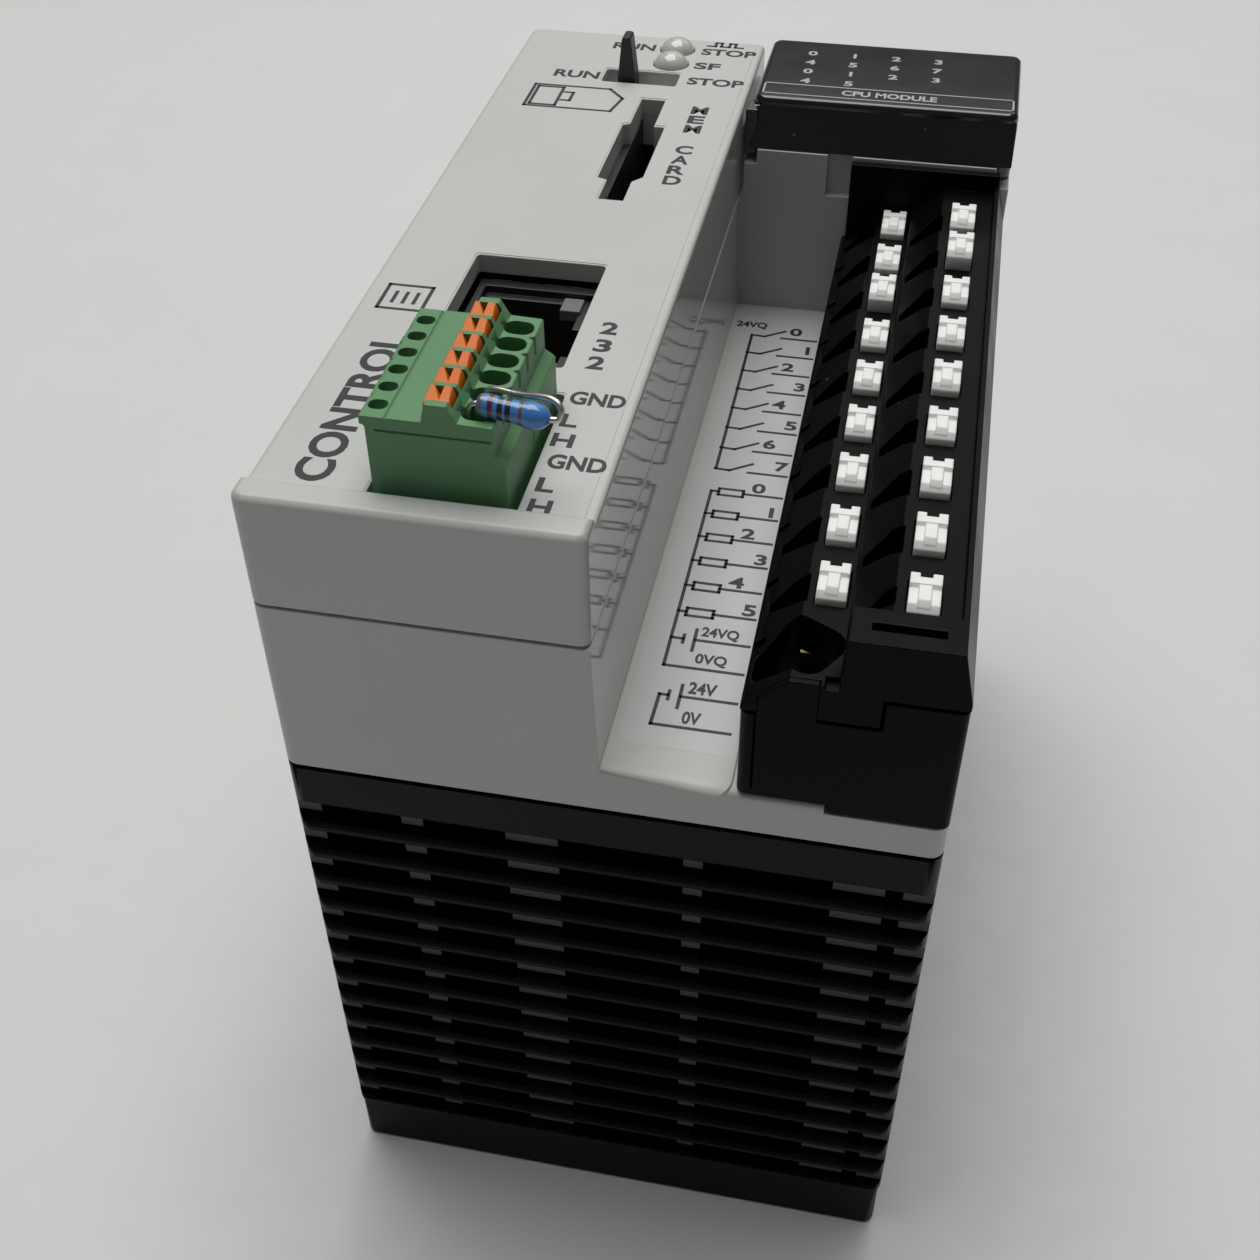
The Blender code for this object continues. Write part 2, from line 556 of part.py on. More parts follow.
def build_plug():
    body = (PLUG_X, PLUG_Y, (PLUG_BOTTOM, 99.7))
    plug = add_object("bus_plug", block_mesh("bus_plug", [body]), GREEN)
    lip = ((PLUG_X[0] - 0.4, PLUG_X[1] - 0.8), PLUG_Y, (99.2, PLUG_TOP))
    join_blocks(plug, "plug_top_plate", [lip])
    ridge = ((BUTTON_X - 1.4, BUTTON_X + 1.5), PLUG_Y, (PLUG_TOP - 1, PLUG_TOP + 1.1))
    join_blocks(plug, "button_ridge", [ridge])
    notch = [(PLUG_X[1] - 0.8, 101.0), (PLUG_X[1] - 0.8, 98.6), (PLUG_X[1] + 1, 96.8), (PLUG_X[1] + 1, 101.0)]
    cut_outlines(plug, "side_notch", [notch], "Y", grown(PLUG_Y, 1))
    places = [plug_pole_y(index) for index in range(PLUG_POLES)]
    test_holes = [(TEST_HOLE_X, y) for y in places]
    cut_cylinders(plug, "test_holes", test_holes, 0.55, (97.5, PLUG_TOP + 1), 8)
    wire_holes = []
    for y in places:
        ring = [math.radians(45 * step + 22.5) for step in range(8)]
        wire_holes.append([
            (WIRE_HOLE_X + math.copysign(0.45, math.cos(a)) + 0.85 * math.cos(a), y + 0.85 * math.sin(a))
            for a in ring
        ])
    cut_outlines(plug, "wire_holes", wire_holes, "Z", (91.0, PLUG_TOP + 1))
    wells = [((BUTTON_X - 1.2, BUTTON_X + 1.2), (y - 1.0, y + 1.0), (95.5, PLUG_TOP + 3)) for y in places]
    cut_blocks(plug, "button_wells", wells)
    socket = ((PLUG_X[0] + 1.6, PLUG_X[1] - 1.6), (PLUG_Y[0] + 1.2, PLUG_Y[1] - 1.2), (PLUG_BOTTOM - 1, 90.0))
    cut_blocks(plug, "plug_socket", [socket])


def build_plug_buttons():
    half = 1.0
    face = [
        (-half, BUTTON_BOTTOM), (half, BUTTON_BOTTOM), (half, BUTTON_TOP), (0.45, BUTTON_TOP),
        (0.0, BUTTON_TOP - 1.3), (-0.45, BUTTON_TOP), (-half, BUTTON_TOP),
    ]
    for index in range(PLUG_POLES):
        name = f"plug_button_{index + 1}"
        centre = (BUTTON_X, plug_pole_y(index), BUTTON_TOP)
        outline = [(BUTTON_X + x, z) for x, z in face]
        mesh = outline_mesh(name, [outline], "Y", (centre[1] - 0.8, centre[1] + 0.8))
        add_object(name, mesh, ORANGE, centre)


def wire_part(name, points):
    curve = bpy.data.curves.new(name, "CURVE")
    curve.dimensions = "3D"
    curve.bevel_depth = LEAD_RADIUS
    curve.bevel_resolution = 1
    curve.use_fill_caps = True
    spline = curve.splines.new("POLY")
    spline.points.add(len(points) - 1)
    for point, place in zip(spline.points, points):
        point.co = (*place, 1.0)
    drawing = bpy.data.objects.new(name, curve)
    CUTTERS.objects.link(drawing)
    graph = bpy.context.evaluated_depsgraph_get()
    mesh = bpy.data.meshes.new_from_object(drawing.evaluated_get(graph))
    bpy.data.objects.remove(drawing, do_unlink=True)
    bm = bmesh.new()
    bm.from_mesh(mesh)
    bmesh.ops.remove_doubles(bm, verts=bm.verts, dist=0.001)
    add_object(name, finish_mesh(name, bm), TINNED)


def build_resistor():
    """The terminating resistor: its far lead in pole 6, its bent-back lead in pole 5."""
    start = Vector(RESISTOR_FROM)
    end = Vector(RESISTOR_TO)
    length = (end - start).length
    cap = RESISTOR_RADIUS
    profile = [
        (0.0, length), (0.35, length), (cap, length - 1.2), (cap, length - 1.8), (cap - 0.15, length - 2.3),
        (cap - 0.15, 1.5), (cap, 1.1), (cap, 0.4), (cap - 0.4, 0.0), (0.0, 0.0),
    ]
    body = turned_part("resistor_body", profile, RESISTOR_BLUE, (0.0, 0.0, 0.0), 12)
    body.rotation_euler = (end - start).to_track_quat("Z", "Y").to_euler()
    body.location = start * MM
    along = (end - start).normalized()
    pole_5 = plug_pole_y(4)
    pole_6 = plug_pole_y(5)
    exit_left = start - along * GAP
    wire_part("resistor_lead_left", [
        exit_left, exit_left - along * 0.35 + Vector((0, 0, -0.15)), (WIRE_HOLE_X - 0.85, pole_6, 100.9),
        (WIRE_HOLE_X - 0.75, pole_6, 100.0), (WIRE_HOLE_X - 0.6, pole_6, 94.0),
    ])
    exit_right = end + along * GAP
    bend = []
    for step in range(7):
        angle = math.radians(30 * step - 90)
        bend.append(exit_right + Vector((1.0 * math.cos(angle), 1.35 * math.sin(angle) + 1.35, 0.09 * step)))
    wire_part("resistor_lead_right", [exit_right] + bend + [
        (-7.6, -41.9, 102.4), (WIRE_HOLE_X + 0.9, -41.96, 102.3), (WIRE_HOLE_X + 0.3, pole_5, 101.7),
        (WIRE_HOLE_X, pole_5, 100.6), (WIRE_HOLE_X, pole_5, 94.0),
    ])


def build_bus_header():
    outer = ((-20.3, -6.6), (-47.6, -28.9), (79.9, CAP_SKIN - GAP))
    header = add_object("bus_header", block_mesh("bus_header", [outer]), GREEN)
    inside = ((-19.35, -7.45), (-46.65, -29.65), (84.0, CAP_SKIN + 1))
    cut_blocks(header, "header_inside", [inside])


def build_front_sockets():
    jack = ((-21.0, -8.7), (-25.1, -7.3), (79.9, CAP_SKIN - GAP))
    socket = add_object("serial_jack", block_mesh("serial_jack", [jack]), BLACK)
    cut_blocks(socket, "jack_cavity", [((-19.6, -10.4), (-23.0, -9.4), (80.9, CAP_SKIN + 1))])
    cut_blocks(socket, "jack_latch", [((-11.0, -9.3), (-18.6, -13.8), (82.9, CAP_SKIN + 1))])
    card = ((-15.0, -7.0), (4.8, 33.2), (79.9, CAP_SKIN - GAP))
    reader = add_object("card_socket", block_mesh("card_socket", [card]), BLACK)
    cut_blocks(reader, "card_cavity", [((-12.4, -9.4), (6.4, 31.8), (80.9, CAP_SKIN + 1))])


def build_mode_switch():
    body = ((-19.4, -8.2), (34.9, 39.6), (79.9, 88.6))
    switch = add_object("mode_switch", block_mesh("mode_switch", [body]), BLACK)
    cut_blocks(switch, "switch_slot", [((-17.4, -9.9), (35.7, 38.9), (84.0, 90.0))])
    foot = 1.05
    tip = 0.45
    front = [(-foot, 85.0), (foot, 85.0), (foot, 93.0), (tip, 98.2), (-tip, 98.2), (-foot, 93.0)]
    outline = [(MODE_LEVER_AT[0] + x, z) for x, z in front]
    span = (MODE_LEVER_AT[1] - 1.1, MODE_LEVER_AT[1] + 1.1)
    mesh = outline_mesh("mode_lever", [outline], "Y", span)
    add_object("mode_lever", mesh, DARK_LEVER, MODE_LEVER_AT)


def build_status_leds():
    radius = STATUS_LED_RADIUS
    dome = [
        (radius * math.sin(math.radians(angle)), 93.4 + radius * math.cos(math.radians(angle)))
        for angle in (0, 22.5, 45, 67.5, 90)
    ]
    profile = dome + [(radius, 81.2), (0.0, 81.2)]
    for name, place in zip(("status_led_run", "status_led_fault"), STATUS_LED_AT):
        turned_part(name, profile, CLEAR, (*place, 0.0), 16)


def build_boards():
    add_object("front_board", block_mesh("front_board", [((-27.6, -3.0), (-47.4, 47.4), (78.0, 79.6))]), BOARD)
    add_object("cpu_board", block_mesh("cpu_board", [((-26.6, -25.0), (-44.0, 44.0), (9.0, 77.6))]), BOARD)
    add_object("io_board", block_mesh("io_board", [((22.6, 24.2), (-44.0, 44.0), (9.0, 57.5))]), BOARD)
    header = (HEADER_X, HEADER_Y, (58.0, 70.4))
    add_object("terminal_header", block_mesh("terminal_header", [header]), BLACK)
    plug = ((-5.0, 5.0), (-22.0, 22.0), (0.4, 8.6))
    connector = add_object("backplane_connector", block_mesh("backplane_connector", [plug]), BLACK)
    cut_blocks(connector, "backplane_rows", [((-3.4, 3.4), (-20.0, 20.0), (-1.0, 5.6))])
    cell = cylinder_mesh("backup_cell", [(0.0, 0.0)], 8.0, (-2.6, 2.6), 20)
    cell.transform(Matrix.Translation((-22.0, 10.0, 40.0)) @ Matrix.Rotation(math.radians(90), 4, "Y"))
    add_object("backup_cell", cell, STEEL)


build_base()
build_rear_cover()
build_frame()
build_cap()
build_labels()
build_led_window()
build_block_cover()
build_block_base()
build_contacts()
build_levers()
build_block_screw()
build_plug()
build_plug_buttons()
build_resistor()
build_bus_header()
build_front_sockets()
build_mode_switch()
build_status_leds()
build_boards()
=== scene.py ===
"""Looks of the compact controller module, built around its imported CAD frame.

Lengths are in millimetres, as in the part's own drawing, and MM turns them into Blender's metres.
The module lies on its mounting face: +Z is out of its front, +Y its far end, +X its right side.
"""

from math import atan2, copysign, cos, pi, radians, sin, tan

import bmesh
import bpy
from mathutils import Matrix, Vector


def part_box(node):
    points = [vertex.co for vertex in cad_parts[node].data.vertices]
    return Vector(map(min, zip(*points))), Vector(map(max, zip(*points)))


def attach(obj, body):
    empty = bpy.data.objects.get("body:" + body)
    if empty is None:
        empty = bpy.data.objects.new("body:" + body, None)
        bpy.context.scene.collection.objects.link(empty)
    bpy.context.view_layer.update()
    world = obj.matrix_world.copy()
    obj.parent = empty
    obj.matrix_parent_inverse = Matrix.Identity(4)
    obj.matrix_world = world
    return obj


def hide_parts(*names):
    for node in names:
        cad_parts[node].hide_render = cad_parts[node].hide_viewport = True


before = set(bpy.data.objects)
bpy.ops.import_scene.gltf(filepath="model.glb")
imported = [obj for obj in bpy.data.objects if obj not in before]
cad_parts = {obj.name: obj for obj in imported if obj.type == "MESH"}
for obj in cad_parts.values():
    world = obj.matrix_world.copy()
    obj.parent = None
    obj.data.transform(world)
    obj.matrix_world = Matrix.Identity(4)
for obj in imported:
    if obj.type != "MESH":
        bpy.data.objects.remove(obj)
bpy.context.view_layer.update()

MM = 0.001
SHARP = radians(50)
BEVEL_FROM = radians(35)


def spans(node):
    """The x, y and z spans of a CAD node in millimetres."""
    low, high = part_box(node)
    return [(least / MM, most / MM) for least, most in zip(low, high)]


def grown(span, amount):
    return (span[0] - amount, span[1] + amount)


def middle(span):
    return (span[0] + span[1]) / 2


# Levels and outlines that come from the frame
BASE_X, BASE_Y, BASE_Z = spans("base_housing")
REAR_X, REAR_Y, REAR_Z = spans("rear_cover")
FRAME_X, FRAME_Y, FRAME_Z = spans("housing_frame")
CAP_X, CAP_Y, CAP_Z = spans("front_cap")
FOIL_X, FOIL_Y, FOIL_Z = spans("front_foil")
NOTE_X, NOTE_Y, NOTE_Z = spans("wiring_label")
WINDOW_X, WINDOW_Y, WINDOW_Z = spans("led_cover")
BLOCK_X, BLOCK_Y, BLOCK_BASE_Z = spans("terminal_base")
PLUG_X, PLUG_Y, PLUG_Z = spans("bus_plug")
FRONT = FOIL_Z[1]
NEAR = BASE_Y[0]
FAR = BASE_Y[1]
RIGHT = BASE_X[1]
POLES = 9
PLUG_POLES = 6

# Shell details
WALL = 1.8
CORNER = 1.3
EDGE = 0.12
PRINT = 0.03
WIDE_LETTERS = 1.3
LETTER_WEIGHT = 0.03

# Terminal block
BLOCK_SPLIT = 78.0
BLOCK_STEP = 81.1
COVER_GAP = 0.3
FOOT_X = (19.6, 30.0)
FOOT_DEPTH = 1.4
FOOT_LOW = 67.4
PLATE_AT = (13.1, 18.0, 0.6)
SCREW_AT = (15.9, -45.9)
HEADER_HOLE = [grown(span, 0.4) for span in spans("terminal_header")[:2]]

# Louvres
LOUVRE_ROWS = 13
LOUVRE_PITCH = 4.0
LOUVRE_TOP = 58.3
SETBACK = 0.9
LOUVRE_WALL = 1.9
LIP = 0.25
LOUVRE_SLOT = (-2.6, -0.12)
LOUVRE_COLUMNS = ((-27.6, -19.7), (-17.6, -9.6), (-4.6, 7.2), (9.0, 20.9), (25.6, 27.2))

# Recess and front openings, as in the frame's solids
RECESS_LEFT = -0.3
RECESS_FLOOR = 68.2
LABEL_FLOOR = 68.39
RECESS_FAR = 30.4
FRAME_SPLIT = 82.6
RIM_DEPTH = 3.1
WINDOW_FACE = 32.5
SILL_Y = RECESS_FAR + 0.1
SILL_Z = FRAME_Z[1] - 0.45
PLUG_OPENING = ((-19.7, -7.2), (-46.7, -29.5))
JACK_OPENING = ((-21.3, -8.4), (-25.4, -7.0))
MODE_OPENING = ((-18.2, -9.4), (35.6, 39.2))
CARD_OPENING = (
    (-12.5, 31.6), (-9.8, 31.6), (-9.8, 24.6), (-8.6, 24.6), (-8.6, 12.2), (-9.6, 11.0),
    (-9.6, 6.6), (-12.2, 6.6), (-12.2, 11.0), (-13.3, 11.4), (-13.3, 24.4), (-12.5, 24.9),
)
CARD_DEPTH = 3.6


# ---- mesh tools

def finished(bm):
    """A new mesh from a bmesh, with its faces turned outwards."""
    bmesh.ops.recalc_face_normals(bm, faces=bm.faces)
    mesh = bpy.data.meshes.new("mesh")
    bm.to_mesh(mesh)
    bm.free()
    return mesh


def edited(mesh, edit):
    """The mesh after an edit of it as a bmesh."""
    bm = bmesh.new()
    bm.from_mesh(mesh)
    edit(bm)
    bm.to_mesh(mesh)
    bm.free()
    return mesh


def tidied(bm, distance, degrees):
    """Merge the points that coincide and the faces that lie in one plane."""
    bmesh.ops.remove_doubles(bm, verts=bm.verts, dist=distance)
    bmesh.ops.dissolve_limit(bm, angle_limit=radians(degrees), verts=bm.verts, edges=bm.edges)


def placed(name, data):
    """A new object in the scene."""
    item = bpy.data.objects.new(name, data)
    bpy.context.scene.collection.objects.link(item)
    return item


def boxes(places):
    """Separate boxes in one mesh, each given by its x, y and z spans."""
    bm = bmesh.new()
    for x, y, z in places:
        low = Vector((x[0], y[0], z[0]))
        high = Vector((x[1], y[1], z[1]))
        place = Matrix.Translation((low + high) / 2) @ Matrix.Diagonal((*(high - low), 1.0))
        bmesh.ops.create_cube(bm, size=1.0, matrix=place)
    return finished(bm)


def drum(place, radius, span):
    """One upright cylinder."""
    bm = bmesh.new()
    bmesh.ops.create_cone(
        bm, cap_ends=True, segments=32, radius1=radius, radius2=radius, depth=span[1] - span[0],
        matrix=Matrix.Translation((*place, middle(span))),
    )
    return finished(bm)


# Each axis turns a drawing's plane: the columns are its right, its up and its extrusion.
DRAWING_AXES = {
    "X": Matrix(((0, 0, 1), (1, 0, 0), (0, 1, 0))),
    "Y": Matrix(((1, 0, 0), (0, 0, -1), (0, 1, 0))),
    "Z": Matrix(((1, 0, 0), (0, 1, 0), (0, 0, 1))),
}


def evaluated_mesh(item):
    """The mesh that an object makes, without the object."""
    graph = bpy.context.evaluated_depsgraph_get()
    mesh = bpy.data.meshes.new_from_object(item.evaluated_get(graph))
    bpy.data.objects.remove(item, do_unlink=True)
    return mesh


def drawn_mesh(curve):
    """The mesh that a curve or text makes. The curve is used up."""
    mesh = evaluated_mesh(placed("drawing", curve))
    bpy.data.curves.remove(curve)
    return mesh


def welded(mesh, distance):
    def weld(bm):
        bmesh.ops.remove_doubles(bm, verts=bm.verts, dist=distance)
        bmesh.ops.recalc_face_normals(bm, faces=bm.faces)

    return edited(mesh, weld)


def prism(outlines, axis, span):
    """Closed outlines in the plane across an axis, filled and extruded over a span of it."""
    curve = bpy.data.curves.new("drawing", "CURVE")
    curve.dimensions = "2D"
    curve.fill_mode = "BOTH"
    curve.extrude = (span[1] - span[0]) / 2
    for points in outlines:
        spline = curve.splines.new("POLY")
        spline.points.add(len(points) - 1)
        for point, (right, up) in zip(spline.points, points):
            point.co = (right, up, 0.0, 1.0)
        spline.use_cyclic_u = True
    bm = bmesh.new()
    bm.from_mesh(drawn_mesh(curve))
    tidied(bm, 0.001, 1)
    place = Vector([middle(span) if letter == axis else 0.0 for letter in "XYZ"])
    turn = Matrix.Translation(place) @ DRAWING_AXES[axis].to_4x4()
    bmesh.ops.transform(bm, matrix=turn, verts=bm.verts)
    return finished(bm)


def rounded(corners, steps=5):
    """An outline from (across, up, radius) corners, each turned into an arc of its radius."""
    outline = []
    for index, (across, up, radius) in enumerate(corners):
        corner = Vector((across, up))
        if radius == 0:
            outline.append((across, up))
            continue
        before = (Vector(corners[index - 1][:2]) - corner).normalized()
        after = (Vector(corners[(index + 1) % len(corners)][:2]) - corner).normalized()
        half = before.angle(after) / 2
        centre = corner + (before + after).normalized() * radius / sin(half)
        start = corner + before * radius / tan(half) - centre
        end = corner + after * radius / tan(half) - centre
        first = atan2(start.y, start.x)
        sweep = atan2(start.x * end.y - start.y * end.x, start.dot(end))
        for step in range(steps + 1):
            angle = first + sweep * step / steps
            outline.append((centre.x + radius * cos(angle), centre.y + radius * sin(angle)))
    return outline


def plan(x, y, radius, steps=5):
    """A rectangle with rounded corners."""
    corners = [(x[0], y[0], radius), (x[1], y[0], radius), (x[1], y[1], radius), (x[0], y[1], radius)]
    return rounded(corners, steps)


def turned(profile, steps=40):
    """Turn a profile of (radius, height) points, listed from the top down, about Z."""
    bm = bmesh.new()
    points = [bm.verts.new((radius, 0.0, height)) for radius, height in profile]
    for upper, lower in zip(points, points[1:]):
        bm.edges.new((upper, lower))
    return modified(
        finished(bm), "SCREW", steps=steps, render_steps=steps, use_merge_vertices=True,
        merge_threshold=0.0001,
    )


def modified(mesh, kind, **settings):
    """The mesh after one modifier. The mesh that was given is used up."""
    item = placed("work", mesh)
    step = item.modifiers.new("step", kind)
    for name, value in settings.items():
        setattr(step, name, value)
    result = evaluated_mesh(item)
    bpy.data.meshes.remove(mesh)
    return result


def combined(mesh, tool, operation):
    """One mesh joined with, cut by or kept inside another. Both are used up."""
    item = placed("tool", tool)
    result = modified(mesh, "BOOLEAN", operation=operation, object=item, solver="EXACT")
    bpy.data.objects.remove(item, do_unlink=True)
    bpy.data.meshes.remove(tool)
    return edited(result, lambda bm: tidied(bm, 0.002, 0.5))


def cut(mesh, tool):
    return combined(mesh, tool, "DIFFERENCE")


def carved(mesh, *places):
    """The mesh with boxes cut out of it, each given by its x, y and z spans."""
    return cut(mesh, boxes(places))


def pierced(mesh, outlines, span):
    """The mesh with upright holes through a span of its height."""
    return cut(mesh, prism(outlines, "Z", span))


def joined(mesh, tool):
    return combined(mesh, tool, "UNION")


def kept_inside(mesh, outline, z):
    """The part of a mesh inside an upright outline."""
    return combined(mesh, prism([outline], "Z", z), "INTERSECT")


def soft(mesh, width=EDGE, segments=2):
    """The mesh with every sharp edge rounded. Faces are made convex first, so none closes a hole."""
    edited(mesh, lambda bm: bmesh.ops.connect_verts_concave(bm, faces=bm.faces))
    return modified(
        mesh, "BEVEL", width=width, segments=segments, limit_method="ANGLE", angle_limit=BEVEL_FROM,
        use_clamp_overlap=False, loop_slide=False,
    )


def soft_where(mesh, test, width, segments=4):
    """The mesh with its sharp edges rounded where their middle passes a test."""
    def bevel(bm):
        edges = []
        for edge in bm.edges:
            centre = (edge.verts[0].co + edge.verts[1].co) / 2
            if edge.is_manifold and edge.calc_face_angle() > BEVEL_FROM and test(centre):
                edges.append(edge)
        bmesh.ops.bevel(
            bm, geom=edges, offset=width, segments=segments, profile=0.5, affect="EDGES",
            clamp_overlap=False,
        )

    return edited(mesh, bevel)


def together(*meshes):
    """Several meshes as one. They are used up."""
    bm = bmesh.new()
    for mesh in meshes:
        bm.from_mesh(mesh)
        bpy.data.meshes.remove(mesh)
    result = bpy.data.meshes.new("mesh")
    bm.to_mesh(result)
    bm.free()
    return result


def shaded(mesh):
    """Smooth across rounded edges and flat on flat faces."""
    mesh.shade_smooth()
    mesh.set_sharp_from_angle(angle=SHARP)
    return modified(mesh, "WEIGHTED_NORMAL", mode="FACE_AREA", weight=100, keep_sharp=True)


def show(name, mesh, material, slot, *replaced, body="housing"):
    """Shade a mesh in millimetres and put it on a body, in place of the CAD nodes it stands for."""
    if material not in (INK, PALE_INK):
        mesh = shaded(mesh)
    mesh.transform(Matrix.Scale(MM, 4))
    mesh.materials.clear()
    mesh.materials.append(material)
    mesh.name = name
    item = placed(name, mesh)
    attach(item, body)
    if replaced:
        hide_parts(*replaced)


# ---- print

def lettering(words, level, turn=0):
    """Thin printed words, each as (text, centre, (width or None, height)), turned by some degrees."""
    parts = []
    for text, centre, size in words:
        curve = bpy.data.curves.new("letters", "FONT")
        curve.body = text
        curve.resolution_u = 4
        curve.offset = LETTER_WEIGHT
        curve.extrude = 0.01
        mesh = welded(drawn_mesh(curve), 0.0005)
        across = [vertex.co.x for vertex in mesh.vertices]
        up = [vertex.co.y for vertex in mesh.vertices]
        width = max(across) - min(across)
        height = max(up) - min(up)
        centred = Vector((max(across) + min(across), max(up) + min(up), 0)) / -2
        stretch = size[0] / width if size[0] else WIDE_LETTERS * size[1] / height
        scale = Matrix.Diagonal((stretch, size[1] / height, PRINT / 0.02, 1.0))
        place = Matrix.Translation((*centre, level)) @ Matrix.Rotation(radians(turn), 4, "Z")
        mesh.transform(place @ scale @ Matrix.Translation(centred))
        parts.append(mesh)
    return together(*parts)


def strokes(lines, width, level):
    """Thin printed lines, each a list of points, as flat bars with square ends."""
    bm = bmesh.new()
    for points in lines:
        for start, end in zip(points, points[1:]):
            along = Vector(end) - Vector(start)
            centre = (Vector(start) + Vector(end)) / 2
            turn = Matrix.Rotation(atan2(along.y, along.x), 4, "Z")
            size = Matrix.Diagonal((along.length + width, width, PRINT, 1.0))
            place = Matrix.Translation((*centre, level)) @ turn @ size
            bmesh.ops.create_cube(bm, size=1.0, matrix=place)
    return finished(bm)


def loop(x, y):
    """The closed outline of a rectangle as one line."""
    return [(x[0], y[0]), (x[1], y[0]), (x[1], y[1]), (x[0], y[1]), (x[0], y[0])]


# ---- materials

def new_material(name, roughness, metallic=0.0, **more):
    """A material, with further shader inputs named by their words joined by underscores."""
    material = bpy.data.materials.new(name)
    material.use_nodes = True
    inputs = shader_inputs(material)
    inputs["Roughness"].default_value = roughness
    inputs["Metallic"].default_value = metallic
    for socket, value in more.items():
        inputs[socket.replace("_", " ")].default_value = value
    return material


def shader_inputs(material):
    return material.node_tree.nodes["Principled BSDF"].inputs


def feed(material, socket, source):
    """Link a value to one of the shader's inputs."""
    material.node_tree.links.new(source, shader_inputs(material)[socket])


def source_of(material, socket):
    """What is linked to one of the shader's inputs."""
    return shader_inputs(material)[socket].links[0].from_socket


def outputs(material, kind, inputs, **settings):
    """The outputs of a new node that has its settings, and a value or a link on each named input."""
    node = material.node_tree.nodes.new("ShaderNode" + kind)
    for name, value in settings.items():
        setattr(node, name, value)
    for socket, value in inputs.items():
        if isinstance(value, bpy.types.NodeSocket):
            material.node_tree.links.new(value, node.inputs[socket])
        else:
            node.inputs[socket].default_value = value
    return node.outputs


def place_on(material):
    """The point's place in the object, in metres."""
    return outputs(material, "TexCoord", {})["Object"]


def noise(material, scale, detail):
    """A noise over the object's own coordinates, with its features about a metre over scale wide."""
    settings = {"Scale": scale, "Detail": detail, "Vector": place_on(material)}
    return outputs(material, "TexNoise", settings)["Fac"]


def between(material, source, start, end, low=0.0, high=1.0):
    """A value that goes from low to high as its source goes from start to end."""
    inputs = {"Value": source, "From Min": start, "From Max": end, "To Min": low, "To Max": high}
    return outputs(material, "MapRange", inputs)["Result"]


def size_along(material, vector, axis):
    """A vector's part along an axis, without its sign."""
    part = outputs(material, "SeparateXYZ", {"Vector": vector})[axis]
    return outputs(material, "Math", {0: part}, operation="ABSOLUTE")["Value"]


def facing(material, axis, start, end):
    """A mask of the faces that look along an axis, either way."""
    normal = outputs(material, "NewGeometry", {})["True Normal"]
    return between(material, size_along(material, normal, axis), start, end)


def mixed(material, mask, first, second, kind="RGBA"):
    """The first colour or value where the mask is 0, and the second where it is 1."""
    return outputs(material, "Mix", {"Factor": mask, "A": first, "B": second}, data_type=kind)["Result"]


def ramp(material, source, stops, interpolation="LINEAR"):
    """Colours along a value, from (position, colour) stops."""
    node = material.node_tree.nodes.new("ShaderNodeValToRGB")
    node.color_ramp.interpolation = interpolation
    elements = node.color_ramp.elements
    for element, (position, colour) in zip(elements, stops[:2]):
        element.position = position
        element.color = (*colour, 1.0)
    for position, colour in stops[2:]:
        elements.new(position).color = (*colour, 1.0)
    material.node_tree.links.new(source, node.inputs["Fac"])
    return node.outputs["Color"]


def tinted(colour, factor):
    return tuple(min(1.0, channel * factor) for channel in colour)


def relief(material, grain, height):
    """Bumps of a height in millimetres."""
    inputs = {"Strength": 1.0, "Distance": height * MM, "Height": noise(material, grain, 2.0)}
    feed(material, "Normal", outputs(material, "Bump", inputs)["Normal"])


def uneven_gloss(material, scale, low, high):
    feed(material, "Roughness", between(material, noise(material, scale, 5.0), 0.3, 0.7, low, high))


def surface(name, colour, roughness, grain=2600, height=0.01, vary=0.05, metallic=0.0, **more):
    """A moulded or plated surface: fine grain, slow changes of tone, and uneven gloss."""
    material = new_material(name, roughness, metallic, **more)
    tones = [(0.3, tinted(colour, 1 - vary)), (0.7, tinted(colour, 1 + vary))]
    feed(material, "Base Color", ramp(material, noise(material, 45, 4.0), tones))
    uneven_gloss(material, 220, roughness * 0.9, roughness * 1.12)
    relief(material, grain, height)
    return material


def dusty(name, colour, roughness, dust, grain=2600, height=0.012, **more):
    """A dark moulding with sparse pale specks of dust."""
    material = new_material(name, roughness, **more)
    tones = [(0.3, tinted(colour, 0.85)), (0.75, tinted(colour, 1.2))]
    tone = ramp(material, noise(material, 60, 5.0), tones)
    specks = ramp(material, noise(material, 1300, 1.0), [(0.79, (0, 0, 0)), (0.84, (1, 1, 1))])
    feed(material, "Base Color", mixed(material, specks, tone, (*dust, 1.0)))
    uneven_gloss(material, 160, roughness * 0.88, roughness * 1.15)
    relief(material, grain, height)
    return material


def polished_sides(material, roughness):
    """Give a material's faces that look along X a mirror-like gloss, as the mould left them."""
    usual = source_of(material, "Roughness")
    sideways = facing(material, "X", 0.9, 0.99)
    feed(material, "Roughness", mixed(material, sideways, usual, roughness, "FLOAT"))


def louvre_tones(material, slope, shine, wall):
    """Paint shade on the louvres' sloping slats, with less specular on them, and paint light on the
    walls set back between them, standing in for the floor's reflection. slope is the painted shade
    colour, shine the slats' specular level and wall the painted light colour.
    """
    # Faces that slant, the slats, take the painted shade colour and less specular.
    slat_shade_mask = facing(material, "Z", 0.05, 0.2)
    tone = mixed(material, slat_shade_mask, source_of(material, "Base Color"), (*slope, 1.0))
    # Upright walls set back from each end take the painted light colour.
    upright = facing(material, "Y", 0.9, 0.99)
    depth = size_along(material, place_on(material), "Y")
    set_back = between(material, depth, (FAR - 0.4) * MM, (FAR - 0.6) * MM)
    walls = outputs(material, "Math", {0: set_back, 1: upright}, operation="MULTIPLY")["Value"]
    feed(material, "Base Color", mixed(material, walls, tone, (*wall, 1.0)))
    usual = shader_inputs(material)["Specular IOR Level"].default_value
    feed(material, "Specular IOR Level", between(material, slat_shade_mask, 0.0, 1.0, usual, shine))


